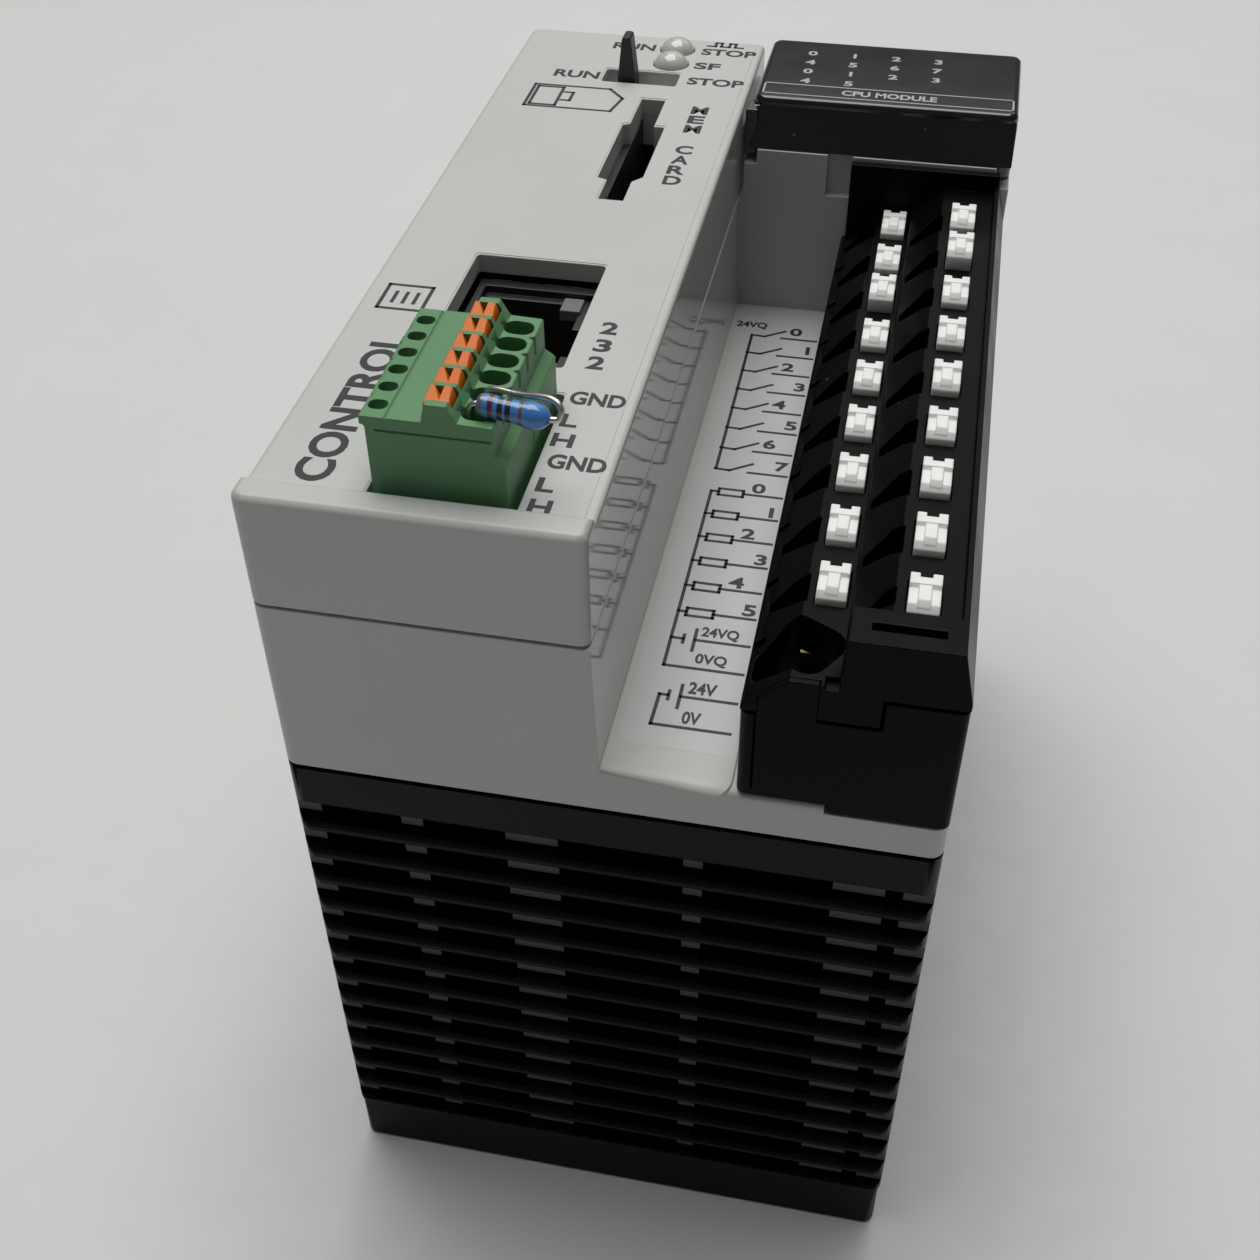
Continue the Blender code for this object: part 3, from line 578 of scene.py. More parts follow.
def banded(name, colour, bands, along):
    """Lacquer with coloured rings, from (start, end, colour) shares of a span of x in millimetres."""
    material = new_material(name, 0.2, Coat_Weight=0.6, Coat_Roughness=0.1)
    x = outputs(material, "SeparateXYZ", {"Vector": place_on(material)})["X"]
    share = between(material, x, along[0] * MM, along[1] * MM)
    stops = [(0.0, colour)]
    for start, end, ring in bands:
        stops += [(start, ring), (end, colour)]
    feed(material, "Base Color", ramp(material, share, stops, "CONSTANT"))
    relief(material, 900, 0.02)
    return material


DUST = (0.10, 0.10, 0.095)
FINE_DUST = (0.035, 0.036, 0.036)
BLACK = dusty("base_black_painted_louvre_shade", (0.0055, 0.0061, 0.0063), 0.34, FINE_DUST, Specular_IOR_Level=0.1)
# The base's black, with painted shade on its louvre slats and painted light on the walls set back
# between them.
louvre_tones(BLACK, (0.0009, 0.001, 0.0011), 0.03, (0.075, 0.078, 0.08))
BLOCK_BLACK = dusty("block_black", (0.0018, 0.0021, 0.0023), 0.33, DUST, Specular_IOR_Level=0.07)
WHITE = surface("housing_white", (0.52, 0.53, 0.505), 0.42, height=0.003, vary=0.02)
polished_sides(WHITE, 0.06)
FOIL = surface("front_sheet", (0.52, 0.525, 0.505), 0.52, grain=3600, height=0.006, vary=0.02)
NOTE = surface("label_sheet", (0.55, 0.56, 0.545), 0.4, grain=1800, height=0.006, vary=0.03)
INK = surface("dark_print", (0.018, 0.021, 0.024), 0.5, vary=0.1)
PALE_INK = surface("pale_print", (0.42, 0.43, 0.42), 0.5)
GLOSS = dusty("dark_window", (0.006, 0.0065, 0.007), 0.13, DUST, grain=300, height=0.01, Coat_Weight=0.5)
LEVER = surface(
    "lever_white", (0.88, 0.87, 0.84), 0.4, height=0.006, vary=0.02,
    Subsurface_Weight=0.5, Subsurface_Scale=0.001, Subsurface_Radius=(1.0, 1.0, 1.0),
)
GREEN = surface("plug_green", (0.105, 0.26, 0.112), 0.42)
LENS = surface("milky_lens", (0.55, 0.55, 0.50), 0.08, height=0.002, vary=0.03, Coat_Weight=0.5)
ORANGE = surface("button_orange", (0.72, 0.165, 0.01), 0.42, height=0.008, Specular_IOR_Level=0.25)
TINNED = surface("tinned_wire", (0.62, 0.60, 0.56), 0.3, grain=1200, metallic=1.0)
STEEL = surface("plated_steel", (0.55, 0.55, 0.53), 0.32, grain=900, metallic=1.0)
BRASS = surface("contact_brass", (0.70, 0.52, 0.24), 0.35, grain=900, metallic=1.0)
GOLD = surface("contact_gold", (0.85, 0.62, 0.25), 0.25, grain=900, height=0.005, metallic=1.0)
BOARD = surface("circuit_board", (0.02, 0.12, 0.05), 0.42, grain=700, height=0.02, vary=0.3)
CLEAR = surface(
    "clear_lens", (0.80, 0.82, 0.80), 0.12, grain=300, vary=0.03, Transmission_Weight=0.55, IOR=1.5,
)
SWITCH = dusty("switch_black", (0.012, 0.012, 0.013), 0.42, DUST)
SOCKET = surface("socket_black", (0.012, 0.013, 0.014), 0.45, vary=0.1)
# A flat mid grey of painted light and shade: on the switch body under the mode slot it stands for white
# plastic in shade, and on the jack's inner ledges for black plastic catching light.
SHADOW = surface("painted_light_and_shade_grey", (0.16, 0.165, 0.16), 0.6, vary=0.08)


# ---- housing

def louvred_end():
    """The far end of the base from the top down: in each row a set-back wall and a curved slat."""
    wall = FAR - SETBACK
    points = [(FAR - 0.2, BASE_Z[1]), (FAR, BASE_Z[1] - 0.2)]
    for row in range(LOUVRE_ROWS):
        top = LOUVRE_TOP - row * LOUVRE_PITCH
        foot = max(top - LOUVRE_PITCH, BASE_Z[0]) + LIP
        points += [(FAR, top + LIP), (FAR - 0.08, top + 0.07), (FAR - LIP, top)]
        points += [(wall, top + 0.01), (wall, top - LOUVRE_WALL)]
        ledge = radians(25)
        rise = (top - LOUVRE_WALL - LIP - foot) / cos(ledge)
        for step in range(6):
            angle = ledge + (pi / 2 - ledge) * step / 5
            points.append((wall + SETBACK * sin(angle), foot + rise * cos(angle)))
    points.append((FAR, BASE_Z[0]))
    return points


def make_base():
    far_end = louvred_end()
    near_end = [(-y, z) for y, z in reversed(far_end)]
    mesh = prism([far_end + near_end], "X", BASE_X)
    mesh = kept_inside(mesh, plan(BASE_X, BASE_Y, CORNER), grown(BASE_Z, 1))
    inside = plan(grown(BASE_X, -WALL), grown(BASE_Y, -2.2), 0.8)
    mesh = pierced(mesh, [inside], grown(BASE_Z, 2))
    slots = []
    for row in range(LOUVRE_ROWS):
        top = LOUVRE_TOP - row * LOUVRE_PITCH
        level = (top + LOUVRE_SLOT[0], top + LOUVRE_SLOT[1])
        slots += [(column, grown(BASE_Y, 1), level) for column in LOUVRE_COLUMNS]
    mesh = carved(mesh, *slots)
    show("base_shell", mesh, BLACK, "black_housing", "base_housing")


def make_rear_band():
    taper = 0.4
    section = [
        (REAR_Y[0], 0.0), (REAR_Y[1], 0.0), (REAR_Y[1] - taper, REAR_Z[1]),
        (REAR_Y[0] + taper, REAR_Z[1]),
    ]
    mesh = prism([section], "X", REAR_X)
    mesh = kept_inside(mesh, plan(REAR_X, REAR_Y, CORNER), grown(REAR_Z, 1))
    mesh = soft_where(mesh, lambda point: point.z < 1, 0.5, 3)
    mesh = carved(mesh, (grown(REAR_X, -2.2), grown(REAR_Y, -2.6), (2.0, 20.0)))
    mesh = pierced(mesh, [plan((-5.3, 5.3), (-22.3, 22.3), 0.6)], (-1.0, 2.5))
    mesh = soft(mesh, 0.15)
    show("rear_band", mesh, BLACK, "black_housing", "rear_cover")


def at_sill(point):
    """Whether an edge's middle is on the recess's near edge, left of the terminal block's foot."""
    on_edge = point.y < NEAR + 0.1 and abs(point.z - LABEL_FLOOR) < 0.3
    return on_edge and RECESS_LEFT < point.x < FOOT_X[0]


def make_frame():
    mesh = prism([plan(FRAME_X, FRAME_Y, CORNER)], "Z", FRAME_Z)
    beyond = RIGHT + 5
    lengthwise = grown(FRAME_Y, 5)
    above = FRAME_Z[1] + 5
    low = FRAME_Z[0] - 5
    inner_y = grown(FRAME_Y, -WALL)
    cpu_x = (FRAME_X[0] + WALL, RECESS_LEFT - WALL)
    mesh = carved(mesh, ((-beyond, RECESS_LEFT + 0.05), lengthwise, (FRAME_SPLIT, above)))
    recess = [
        (RECESS_LEFT, LABEL_FLOOR), (BLOCK_X[0] - 0.4, LABEL_FLOOR), (BLOCK_X[0] - 0.4, RECESS_FLOOR),
        (beyond, RECESS_FLOOR), (beyond, above), (CAP_X[1] + 0.02, above),
        (CAP_X[1] + 0.02, FRAME_SPLIT),
    ]
    mesh = cut(mesh, prism([recess], "Y", (lengthwise[0], RECESS_FAR)))
    foot_x = (FOOT_X[0] - 0.2, beyond)
    mesh = carved(mesh, (foot_x, (NEAR - 1, NEAR + FOOT_DEPTH + 0.2), (FOOT_LOW - 0.2, above)))
    mesh = soft_where(mesh, at_sill, 1.1, 4)
    sill = ((RECESS_LEFT - 1, beyond), (RECESS_FAR - 1, WINDOW_FACE + 0.4), (SILL_Z - 0.05, above))
    mesh = carved(mesh, sill)
    mesh = carved(mesh, (cpu_x, inner_y, (low, above)))
    mesh = carved(mesh, ((cpu_x[1] - 1, RIGHT - WALL), grown(inner_y, -0.1), (low, RECESS_FLOOR - 2)))
    far_y = (RECESS_FAR + WALL, FAR - WALL - 0.2)
    mesh = carved(mesh, ((RECESS_LEFT + 2.3, RIGHT - WALL - 1.4), far_y, (low, FRAME_Z[1] - WALL)))
    seats = [
        ((4.0, 26.0), (36.8, 47.6), (FRAME_Z[1] - 4, above)),
        ((28.4, beyond), (RECESS_FAR - 1, FAR + 1), (86.3, above)),
        ((RECESS_LEFT - 1, 1.2), (RECESS_FAR - 1, 34.5), (86.9, above)),
        ((9.4, 12.2), (RECESS_FAR - 1, RECESS_FAR + 0.9), (83.7, above)),
    ]
    mesh = carved(mesh, *seats)
    through = (RECESS_FLOOR - 3, RECESS_FLOOR + 1)
    mesh = carved(mesh, (*HEADER_HOLE, through))
    mesh = cut(mesh, drum(SCREW_AT, 1.9, through))
    mesh = soft(mesh)
    show("frame_shell", mesh, WHITE, "light_grey_housing", "housing_frame")


def card_outline(margin):
    """The memory card slot, moved outwards by a margin on each side."""
    middle_x = middle((CARD_OPENING[3][0], CARD_OPENING[9][0]))
    middle_y = middle((CARD_OPENING[0][1], CARD_OPENING[6][1]))
    outline = []
    for x, y in CARD_OPENING:
        outline.append((x + copysign(margin, x - middle_x), y + copysign(margin, y - middle_y)))
    return outline


def open_front(mesh, span, margin):
    """Cut the cap's or its printed sheet's openings, wider by a margin in the sheet."""
    outlines = [card_outline(margin)]
    for x, y in (PLUG_OPENING, JACK_OPENING, MODE_OPENING):
        low = y[0] if (x, y) == PLUG_OPENING else y[0] - margin
        outlines.append(plan(grown(x, margin), (low, y[1] + margin), 0.4, 3))
    mesh = pierced(mesh, outlines, span)
    for place in LED_AT:
        mesh = cut(mesh, drum(place, LED_RADIUS + 0.12 + margin / 2, span))
    return mesh


def make_cap():
    top = FRONT - 0.06
    corners = [
        (CAP_X[0], CAP_Y[0], CORNER), (CAP_X[1], CAP_Y[0], 0.9), (CAP_X[1], CAP_Y[1], 0.8),
        (CAP_X[0], CAP_Y[1], CORNER),
    ]
    rim_far = CAP_Y[0] + RIM_DEPTH + 0.05
    start = rim_far - 0.6
    outline = rounded([(CAP_X[0], start, 0), (CAP_X[1], start, 0)] + corners[2:])
    mesh = prism([outline], "Z", (CAP_Z[0], top))
    mesh = soft_where(mesh, lambda point: point.z > top - 0.1 and point.y > rim_far, 0.6)
    rim = prism([rounded(corners[:2] + [(CAP_X[1], rim_far, 0), (CAP_X[0], rim_far, 0)])], "Z", CAP_Z)
    rim = soft_where(rim, lambda point: point.z > CAP_Z[1] - 0.1, 0.7)
    mesh = joined(mesh, rim)
    inner = (grown(CAP_X, -WALL), grown(CAP_Y, -WALL), (CAP_Z[0] - 1, top - 2.0))
    mesh = carved(mesh, inner)
    mesh = open_front(mesh, (top - 4, CAP_Z[1] + 1), 0.0)
    mesh = soft(mesh)
    show("cap_shell", mesh, WHITE, "light_grey_housing", "front_cap")
    sheet = prism([plan(FOIL_X, (FOIL_Y[0] - 0.1, FOIL_Y[1]), 0.8)], "Z", (top - 0.04, FRONT))
    sheet = open_front(sheet, grown((top, FRONT), 1), 0.2)
    show("front_print_sheet", sheet, FOIL, "front_foil", "front_foil")


def make_card_well():
    """The white walls round the memory card slot, down to the black socket."""
    mesh = prism([card_outline(0.7), card_outline(0.02)], "Z", (FRONT - 2 - CARD_DEPTH, FRONT - 1.5))
    show("card_well", mesh, WHITE, "light_grey_housing")


LEDS = ("status_led_run", "status_led_fault")
LED_AT = [(middle(spans(name)[0]), middle(spans(name)[1])) for name in LEDS]
LED_RADIUS = (spans("status_led_run")[0][1] - spans("status_led_run")[0][0]) / 2
LETTER = (1.9, 2.0)


def make_front_legends():
    words = [
        ("RUN", (-21.4, 36.85), (5.4, 2.0)), ("STOP", (-4.9, 37.3), (6.6, 2.0)),
        ("RUN", (-16.3, 46.1), (5.2, 1.9)), ("STOP", (-4.7, 46.1), (6.6, 1.9)),
        ("SF", (-6.6, 41.8), (3.1, 1.9)),
        ("GND", (-4.2, -29.9), (4.9, 2.0)), ("GND", (-3.9, -39.3), (4.9, 2.0)),
        ("L", (-5.9, -33.4), (1.5, 1.9)), ("H", (-5.8, -36.3), (1.9, 1.9)),
        ("L", (-5.7, -42.6), (1.5, 1.9)), ("H", (-5.5, -45.5), (1.9, 1.9)),
    ]
    words += [(digit, (-5.65, y), (1.6, 2.1)) for digit, y in zip("232", (-18.3, -21.3, -24.2))]
    for word, first in (("MEM", 29.4), ("CARD", 19.2)):
        words += [(letter, (-5.4, first - 2.45 * index), LETTER) for index, letter in enumerate(word)]
    level = FRONT + PRINT / 3
    name = lettering([("CONTROL", (-24.8, -34.4), (22.6, 3.3))], level, 90)
    low, high = (47.9, 49.0)
    pulse = [
        (-7.5, low), (-6.6, low), (-6.6, high), (-5.9, high), (-5.9, low), (-4.9, low), (-4.9, high),
        (-4.2, high), (-4.2, low), (-3.3, low),
    ]
    card = [(-25.5, 27.4), (-15.4, 27.4), (-14.7, 31.0), (-16.6, 33.3), (-25.5, 33.3), (-25.5, 27.4)]
    chip = [(-21.6, 29.4), (-20.6, 29.4), (-20.6, 31.6), (-21.6, 31.6)]
    lines = [pulse, card, loop((-25.0, -22.0), (27.9, 32.8)), chip, loop((-27.9, -23.6), (-18.6, -14.3))]
    lines += [[(x, -17.4), (x, -15.6)] for x in (-26.8, -25.75, -24.7)]
    mesh = together(lettering(words, level), name, strokes(lines, 0.36, level))
    show("front_legends", mesh, INK, "front_foil")


def make_wiring_label():
    sheet = prism([plan(NOTE_X, NOTE_Y, 0.3)], "Z", (RECESS_FLOOR, NOTE_Z[1]))
    show("wiring_sheet", sheet, NOTE, "front_foil", "wiring_label")
    end = 10.2
    level = NOTE_Z[1] + PRINT / 3
    switch_rows = [23.5 - 3.94 * index for index in range(8)]
    load_rows = [-8.1 - 3.92 * index for index in range(6)]
    lines = [[(2.5, switch_rows[0]), (2.6, switch_rows[-1])]]
    for y in switch_rows:
        lines.append([(2.5, y), (4.05, y - 0.1), (6.35, y + 1.45)])
        lines.append([(6.1, y - 0.15), (end, y - 0.15)])
    supply = load_rows[-1] - 3.9
    lines.append([(2.75, load_rows[0]), (2.75, supply - 3.9), (end, supply - 3.9)])
    for y in load_rows:
        lines += [[(2.75, y), (3.5, y)], loop((3.55, 6.15), (y - 0.55, y + 0.55)), [(6.2, y), (end, y)]]
    lower = supply - 7.8
    for y, left in ((supply, 2.75), (lower, 3.1)):
        lines += [[(left, y), (3.85, y)], [(3.95, y - 0.55), (3.95, y + 0.55)]]
        lines += [[(5.0, y - 1.5), (5.0, y + 1.5)], [(5.1, y), (end, y)]]
    lines.append([(3.1, lower), (3.0, lower - 3.9), (end, lower - 3.9)])
    words = [("24VQ", (2.2, 25.7), (3.7, 1.5)), ("24VQ", (7.3, supply + 1.2), (3.6, 1.6))]
    words += [("0VQ", (7.0, supply - 2.6), (3.0, 1.6)), ("24V", (6.9, lower + 1.3), (2.6, 1.6))]
    words.append(("0V", (6.5, lower - 2.6), (1.7, 1.6)))
    for rows, rise in ((switch_rows, 1.5), (load_rows, 1.25)):
        for index, y in enumerate(rows):
            words.append((str(index), (9.5 if index % 2 else 7.65, y + rise), (None, 1.7)))
    mesh = together(strokes(lines, 0.34, level), lettering(words, level))
    show("wiring_print", mesh, INK, "front_foil")


def make_window():
    body_y = (WINDOW_FACE, WINDOW_Y[1])
    left = 0.3
    bottom = FRAME_Z[1] + 0.3
    mesh = prism([plan((left, WINDOW_X[1]), body_y, 1.2)], "Z", (bottom, WINDOW_Z[1]))
    near = body_y[0]
    skirt_plan = rounded([(28.4, near, 0), (RIGHT, near, 1.2), (RIGHT, FAR, 1.2), (28.4, FAR, 0)])
    mesh = joined(mesh, prism([skirt_plan], "Z", (86.6, bottom + 2)))
    mesh = joined(mesh, boxes([((-0.4, 1.0), (31.3, 34.0), (87.6, WINDOW_Z[1] - 1.0))]))
    lean = [(near + 0.2, WINDOW_Z[1] - 0.7), (SILL_Y, SILL_Z), (near + 0.2, SILL_Z)]
    mesh = joined(mesh, prism([lean], "X", (left + 0.05, RIGHT - 0.05)))
    mesh = soft_where(mesh, lambda point: point.z > WINDOW_Z[1] - 0.5, 0.7, 4)
    mesh = carved(mesh, ((1.8, 28.4), grown(body_y, -1.5), (bottom - 1, WINDOW_Z[1] - 1.5)))
    mesh = soft(mesh, 0.15)
    show("indicator_window", mesh, GLOSS, "dark_window", "led_cover")
    columns = (5.5, 10.5, 15.4, 20.35)
    rows = (46.0, 43.35, 40.7, 37.95)
    words = []
    for row, y in enumerate(rows):
        for column, x in enumerate(columns):
            number = (row % 2) * 4 + column
            if row < 3 or column < 2:
                words.append((str(number), (x, y), (None, 1.3)))
    words.append(("CPU MODULE", (15.4, 35.3), (10.8, 1.35)))
    level = WINDOW_Z[1] + PRINT / 3
    mesh = together(lettering(words, level), strokes([loop((1.1, 29.3), (33.9, 36.7))], 0.2, level))
    show("window_legends", mesh, PALE_INK, "dark_window")


# ---- terminal block

def pole_seats(side):
    """The place of each clamp lever's own origin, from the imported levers."""
    seats = []
    for index in range(POLES):
        x, y, z = spans(f"lever_{side}_{index + 1}")
        seats.append(Vector((middle(x), y[0] + LEVER_BACK, z[1] - LEVER_TOP)))
    return seats


LEVER_BACK = 1.95
LEVER_TOP = 1.5
LEVER_HALF = 1.3
LEFT_SEATS = pole_seats("left")
RIGHT_SEATS = pole_seats("right")
SLOT_HALF = 1.42
SLOT_Y = (-1.85, 3.05)
TIER_EDGE = 19.6
LEFT_TIER = min(seat.z for seat in LEFT_SEATS)
RIGHT_TIER = min(seat.z for seat in RIGHT_SEATS)
RIM_LEVEL = 87.3
BORDER = 4.3

# Wire entries as seen from the front, about their poles
LEFT_ENTRY = ((15.73, 1.84), (15.73, -1.84), (14.43, -1.3), (12.5, -0.5), (12.5, 0.5), (14.43, 1.7))
RIGHT_ENTRY = ((23.1, 1.88), (23.1, -1.88), (22.0, -1.3), (19.95, -1.3), (19.95, -0.1), (22.0, 2.0))
LAST_ENTRY = ((23.0, 1.85), (23.0, -0.35), (20.6, -0.15), (22.2, 1.75))


def screw_mouth():
    """The rounded three-sided way down to the fixing screw."""
    return rounded([
        (12.2, -47.2, 0.5), (17.4, -49.1, 1.5), (20.4, -44.2, 2.0), (15.0, -41.4, 1.4),
        (12.2, -44.6, 1.0),
    ])


def near_plate(margin, start):
    """The base's thin plate in front of the cover, under its sloping edge, wider by a margin."""
    left, right = (PLATE_AT[0] - margin, PLATE_AT[1] + margin)
    outline = [
        (left, BLOCK_SPLIT - 2), (right, BLOCK_SPLIT - 2), (right, LEFT_TIER + margin),
        (15.5, LEFT_TIER + margin), (left, 79.72 + margin),
    ]
    return prism([outline], "Y", (start, BLOCK_Y[0] + PLATE_AT[2] + margin))


def make_block_cover():
    low = BLOCK_SPLIT + COVER_GAP
    section = [
        (BLOCK_X[0], low), (23.1, low), (23.1, BLOCK_STEP + COVER_GAP), (RIGHT, BLOCK_STEP + COVER_GAP),
        (RIGHT, 82.2), (28.9, RIM_LEVEL), (28.4, RIM_LEVEL), (28.4, RIGHT_TIER), (22.9, RIGHT_TIER),
        (TIER_EDGE, 83.6), (TIER_EDGE, LEFT_TIER), (15.5, LEFT_TIER), (12.7, 79.3), (12.0, 79.1),
        (BLOCK_X[0], 78.8),
    ]
    mesh = prism([section], "Y", BLOCK_Y)
    near, far = BLOCK_Y
    additions = [
        ((TIER_EDGE + 0.2, 28.6), (near, near + BORDER), (83.0, RIM_LEVEL)),
        ((12.2, 28.9), (far - 1.0, far), (82.5, 88.4)),
        ((12.2, 22.0), (far - 1.0, far), (79.3, 87.9)),
    ]
    for addition in additions:
        mesh = joined(mesh, boxes([addition]))
    mesh = carved(mesh, ((21.5, 27.3), (near + 1.7, near + 2.6), (RIM_LEVEL - 1.6, RIM_LEVEL + 1)))
    shafts = (BLOCK_SPLIT - 1, RIM_LEVEL + 3)
    for seats, entry, last_entry, offset in (
        (LEFT_SEATS, LEFT_ENTRY, LEFT_ENTRY, 0.3), (RIGHT_SEATS, RIGHT_ENTRY, LAST_ENTRY, 0.15),
    ):
        slots = []
        for seat in seats:
            slot_y = (seat.y + SLOT_Y[0], seat.y + SLOT_Y[1])
            slots.append((grown((seat.x, seat.x), SLOT_HALF), slot_y, shafts))
        mesh = carved(mesh, *slots)
        mouths = []
        for seat in seats:
            outline = last_entry if seat is seats[-1] else entry
            mouths.append([(x, seat.y + offset + y) for x, y in outline])
        mesh = pierced(mesh, mouths, shafts)
    slits = []
    for seat in LEFT_SEATS + [LEFT_SEATS[-1] + LEFT_SEATS[-1] - LEFT_SEATS[-2]]:
        y = seat.y + 4.3
        slits.append([(12.7, y + 0.4), (12.7, y - 0.4), (11.9, y - 1.3), (11.9, y - 0.5)])
    mesh = pierced(mesh, slits[1:], (77.5, 81.0))
    mesh = pierced(mesh, [screw_mouth()], shafts)
    mesh = carved(mesh, ((18.4, TIER_EDGE), (near - 1, near + 1.2), (81.7, 84.0)))
    mesh = cut(mesh, near_plate(0.04, near - 1))
    mesh = soft(mesh, 0.1)
    show("block_cover", mesh, BLOCK_BLACK, "black_housing", "terminal_cover", body="terminal_block")


def make_block_base():
    near, far = BLOCK_Y
    low = BLOCK_BASE_Z[0]
    section = [
        (BLOCK_X[0], low), (RIGHT, low), (RIGHT, BLOCK_STEP), (23.4, BLOCK_STEP), (23.4, BLOCK_SPLIT),
        (BLOCK_X[0], BLOCK_SPLIT),
    ]
    mesh = prism([section], "Y", BLOCK_Y)
    mesh = joined(mesh, boxes([(FOOT_X, (near, near + FOOT_DEPTH), (FOOT_LOW, low + 1))]))
    mesh = joined(mesh, near_plate(0.0, near))
    corners = [(BLOCK_X[0], near, 0.9), (RIGHT, near, 0.7), (RIGHT, far, 0.3), (BLOCK_X[0], far, 0.3)]
    mesh = kept_inside(mesh, rounded(corners), grown(BLOCK_BASE_Z, 3))
    bay = (71.0, BLOCK_STEP + 1)
    mesh = carved(mesh, ((BLOCK_X[0] + 1.6, 20.0), (-42.6, far - 1.6), bay))
    mesh = carved(mesh, ((19.4, 28.2), (near + 1.6, far - 1.6), bay))
    mesh = carved(mesh, (*HEADER_HOLE, (low - 1, bay[0] + 1)))
    mesh = pierced(mesh, [screw_mouth()], (bay[0], BLOCK_SPLIT + 1))
    mesh = cut(mesh, drum(SCREW_AT, 1.7, (low - 1, bay[0] + 1)))
    mesh = carved(mesh, ((12.9, 13.1), (near - 1, near + 0.25), (69.2, BLOCK_SPLIT + 1)))
    mesh = soft(mesh)
    show("block_base", mesh, BLOCK_BLACK, "black_housing", "terminal_base", body="terminal_block")


def lever_form():
    """One clamp lever about its pole: two far horns and a raised tongue between shoulders."""
    between_horns = ((-0.5, 0.5), (1.75, 4.0), (0.4, 3.0))
    side = rounded([
        (-1.7, 0.55, 0.25), (-1.7, -0.5, 0), (-1.3, -2.0, 0), (0.9, -2.0, 0), (1.5, 0.0, 0),
        (2.3, 0.6, 0), (2.3, 1.5, 0.15), (0.9, 1.5, 0), (0.7, 1.12, 0), (-1.15, 1.12, 0.3),
    ], 4)
    mesh = prism([side], "X", (-LEVER_HALF, LEVER_HALF))
    mesh = carved(mesh, between_horns)
    tongue = rounded([
        (-1.45, 0.3, 0), (2.2, 0.3, 0), (2.2, 1.05, 0), (0.9, 1.42, 0), (-0.9, 1.42, 0.4),
        (-1.45, 0.9, 0.3),
    ], 4)
    mesh = joined(mesh, prism([tongue], "X", (-0.52, 0.52)))
    mesh = carved(mesh, between_horns)
    return soft(mesh, 0.08)


def make_levers():
    shape = lever_form()
    for side, seats in (("left", LEFT_SEATS), ("right", RIGHT_SEATS)):
        for index, seat in enumerate(seats):
            node = f"lever_{side}_{index + 1}"
            mesh = shape.copy()
            mesh.transform(Matrix.Translation(seat))
            show(f"clamp_{side}_{index + 1}", mesh, LEVER, "lever_white", node, body=node)
    bpy.data.meshes.remove(shape)


def make_screw():
    bottom, top = spans("fixing_screw")[2]
    profile = [
        (0.0, top), (1.6, top - 0.05), (2.1, top - 0.35), (2.2, top - 0.8), (2.2, top - 1.6),
        (1.3, top - 1.7), (1.3, bottom + 1.0), (0.8, bottom), (0.0, bottom),
    ]
    mesh = turned(profile)
    mesh.transform(Matrix.Translation((*SCREW_AT, 0.0)))
    x, y = SCREW_AT
    mesh = carved(mesh, ((x - 3, x + 3), (y - 0.3, y + 0.3), (top - 1.0, top + 1)))
    show("block_screw", soft(mesh, 0.06), STEEL, "plated_steel", "fixing_screw", body="fixing_screw")


# ---- bus plug

LEAD = 0.27
PLATE_TOP = 100.65
RIDGE = (-14.34, -14.0, -12.25, -11.45)
RIDGE_TOP = 102.3
BUTTON_X = middle(spans("plug_button_1")[0])
PLUG_ROWS = [middle(spans(f"plug_button_{index + 1}")[1]) for index in range(PLUG_POLES)]


def make_plug():
    x = (PLUG_X[0] + 0.4, PLUG_X[1])
    section = rounded([
        (x[0], PLUG_Z[0], 0), (x[0], 99.85, 0.3), (PLUG_X[0], 99.85, 0), (PLUG_X[0], PLATE_TOP, 0.15),
        (RIDGE[0], PLATE_TOP, 0.1), (RIDGE[1], RIDGE_TOP, 0.2), (RIDGE[2], RIDGE_TOP, 0.2),
        (RIDGE[3], 100.85, 0.1), (-8.65, 100.75, 0.15), (-8.65, 97.9, 0), (x[1], 97.3, 0.2),
        (x[1], PLUG_Z[0], 0),
    ], 3)
    mesh = prism([section], "Y", PLUG_Y)
    above = PLUG_Z[1] + 3
    tests = [plan((-19.1, -17.55), grown((y, y), 0.65), 0.6) for y in PLUG_ROWS]
    mesh = pierced(mesh, tests, (97.5, above))
    entries = [plan((-11.55, -9.05), grown((y, y), 1.0), 0.9) for y in PLUG_ROWS]
    mesh = pierced(mesh, entries, (91, above))
    button_x = (BUTTON_X - 1.25, BUTTON_X + 1.35)
    mesh = carved(mesh, *[(button_x, grown((y, y), 1.0), (95.5, above)) for y in PLUG_ROWS])
    grooves = []
    for y in PLUG_ROWS[:-1]:
        next_to = y - (PLUG_ROWS[0] - PLUG_ROWS[1]) / 2
        grooves.append([(-19.7, next_to + 0.22), (-19.7, next_to - 0.22), (-19.15, next_to)])
        grooves.append([(-8.4, next_to + 0.5), (-8.4, next_to - 0.5), (-9.15, next_to)])
    mesh = pierced(mesh, grooves, (99.0, above))
    mesh = carved(mesh, ((-18.2, -8.9), (PLUG_Y[0] - 1, PLUG_Y[0] + 0.1), (99.35, 99.5)))
    mesh = carved(mesh, ((-17.35, -17.2), grown(PLUG_Y, 1), (PLATE_TOP - 0.12, RIDGE_TOP)))
    mesh = carved(mesh, (grown(x, -1.6), grown(PLUG_Y, -1.2), (PLUG_Z[0] - 1, 90.0)))
    wedge = [(x[1] - 0.5, 94.0), (x[1] + 0.02, 94.0), (x[1] + 0.02, 97.2), (x[1] - 0.5, 97.4)]
    mesh = joined(mesh, prism([wedge], "Y", (-38.0, PLUG_Y[1])))
    show("plug_housing", soft(mesh, 0.08), GREEN, "plug_green", "bus_plug", body="bus_plug")


def hull(points):
    """The smallest convex solid round some points."""
    bm = bmesh.new()
    for point in points:
        bm.verts.new(point)
    bmesh.ops.convex_hull(bm, input=bm.verts)
    return finished(bm)


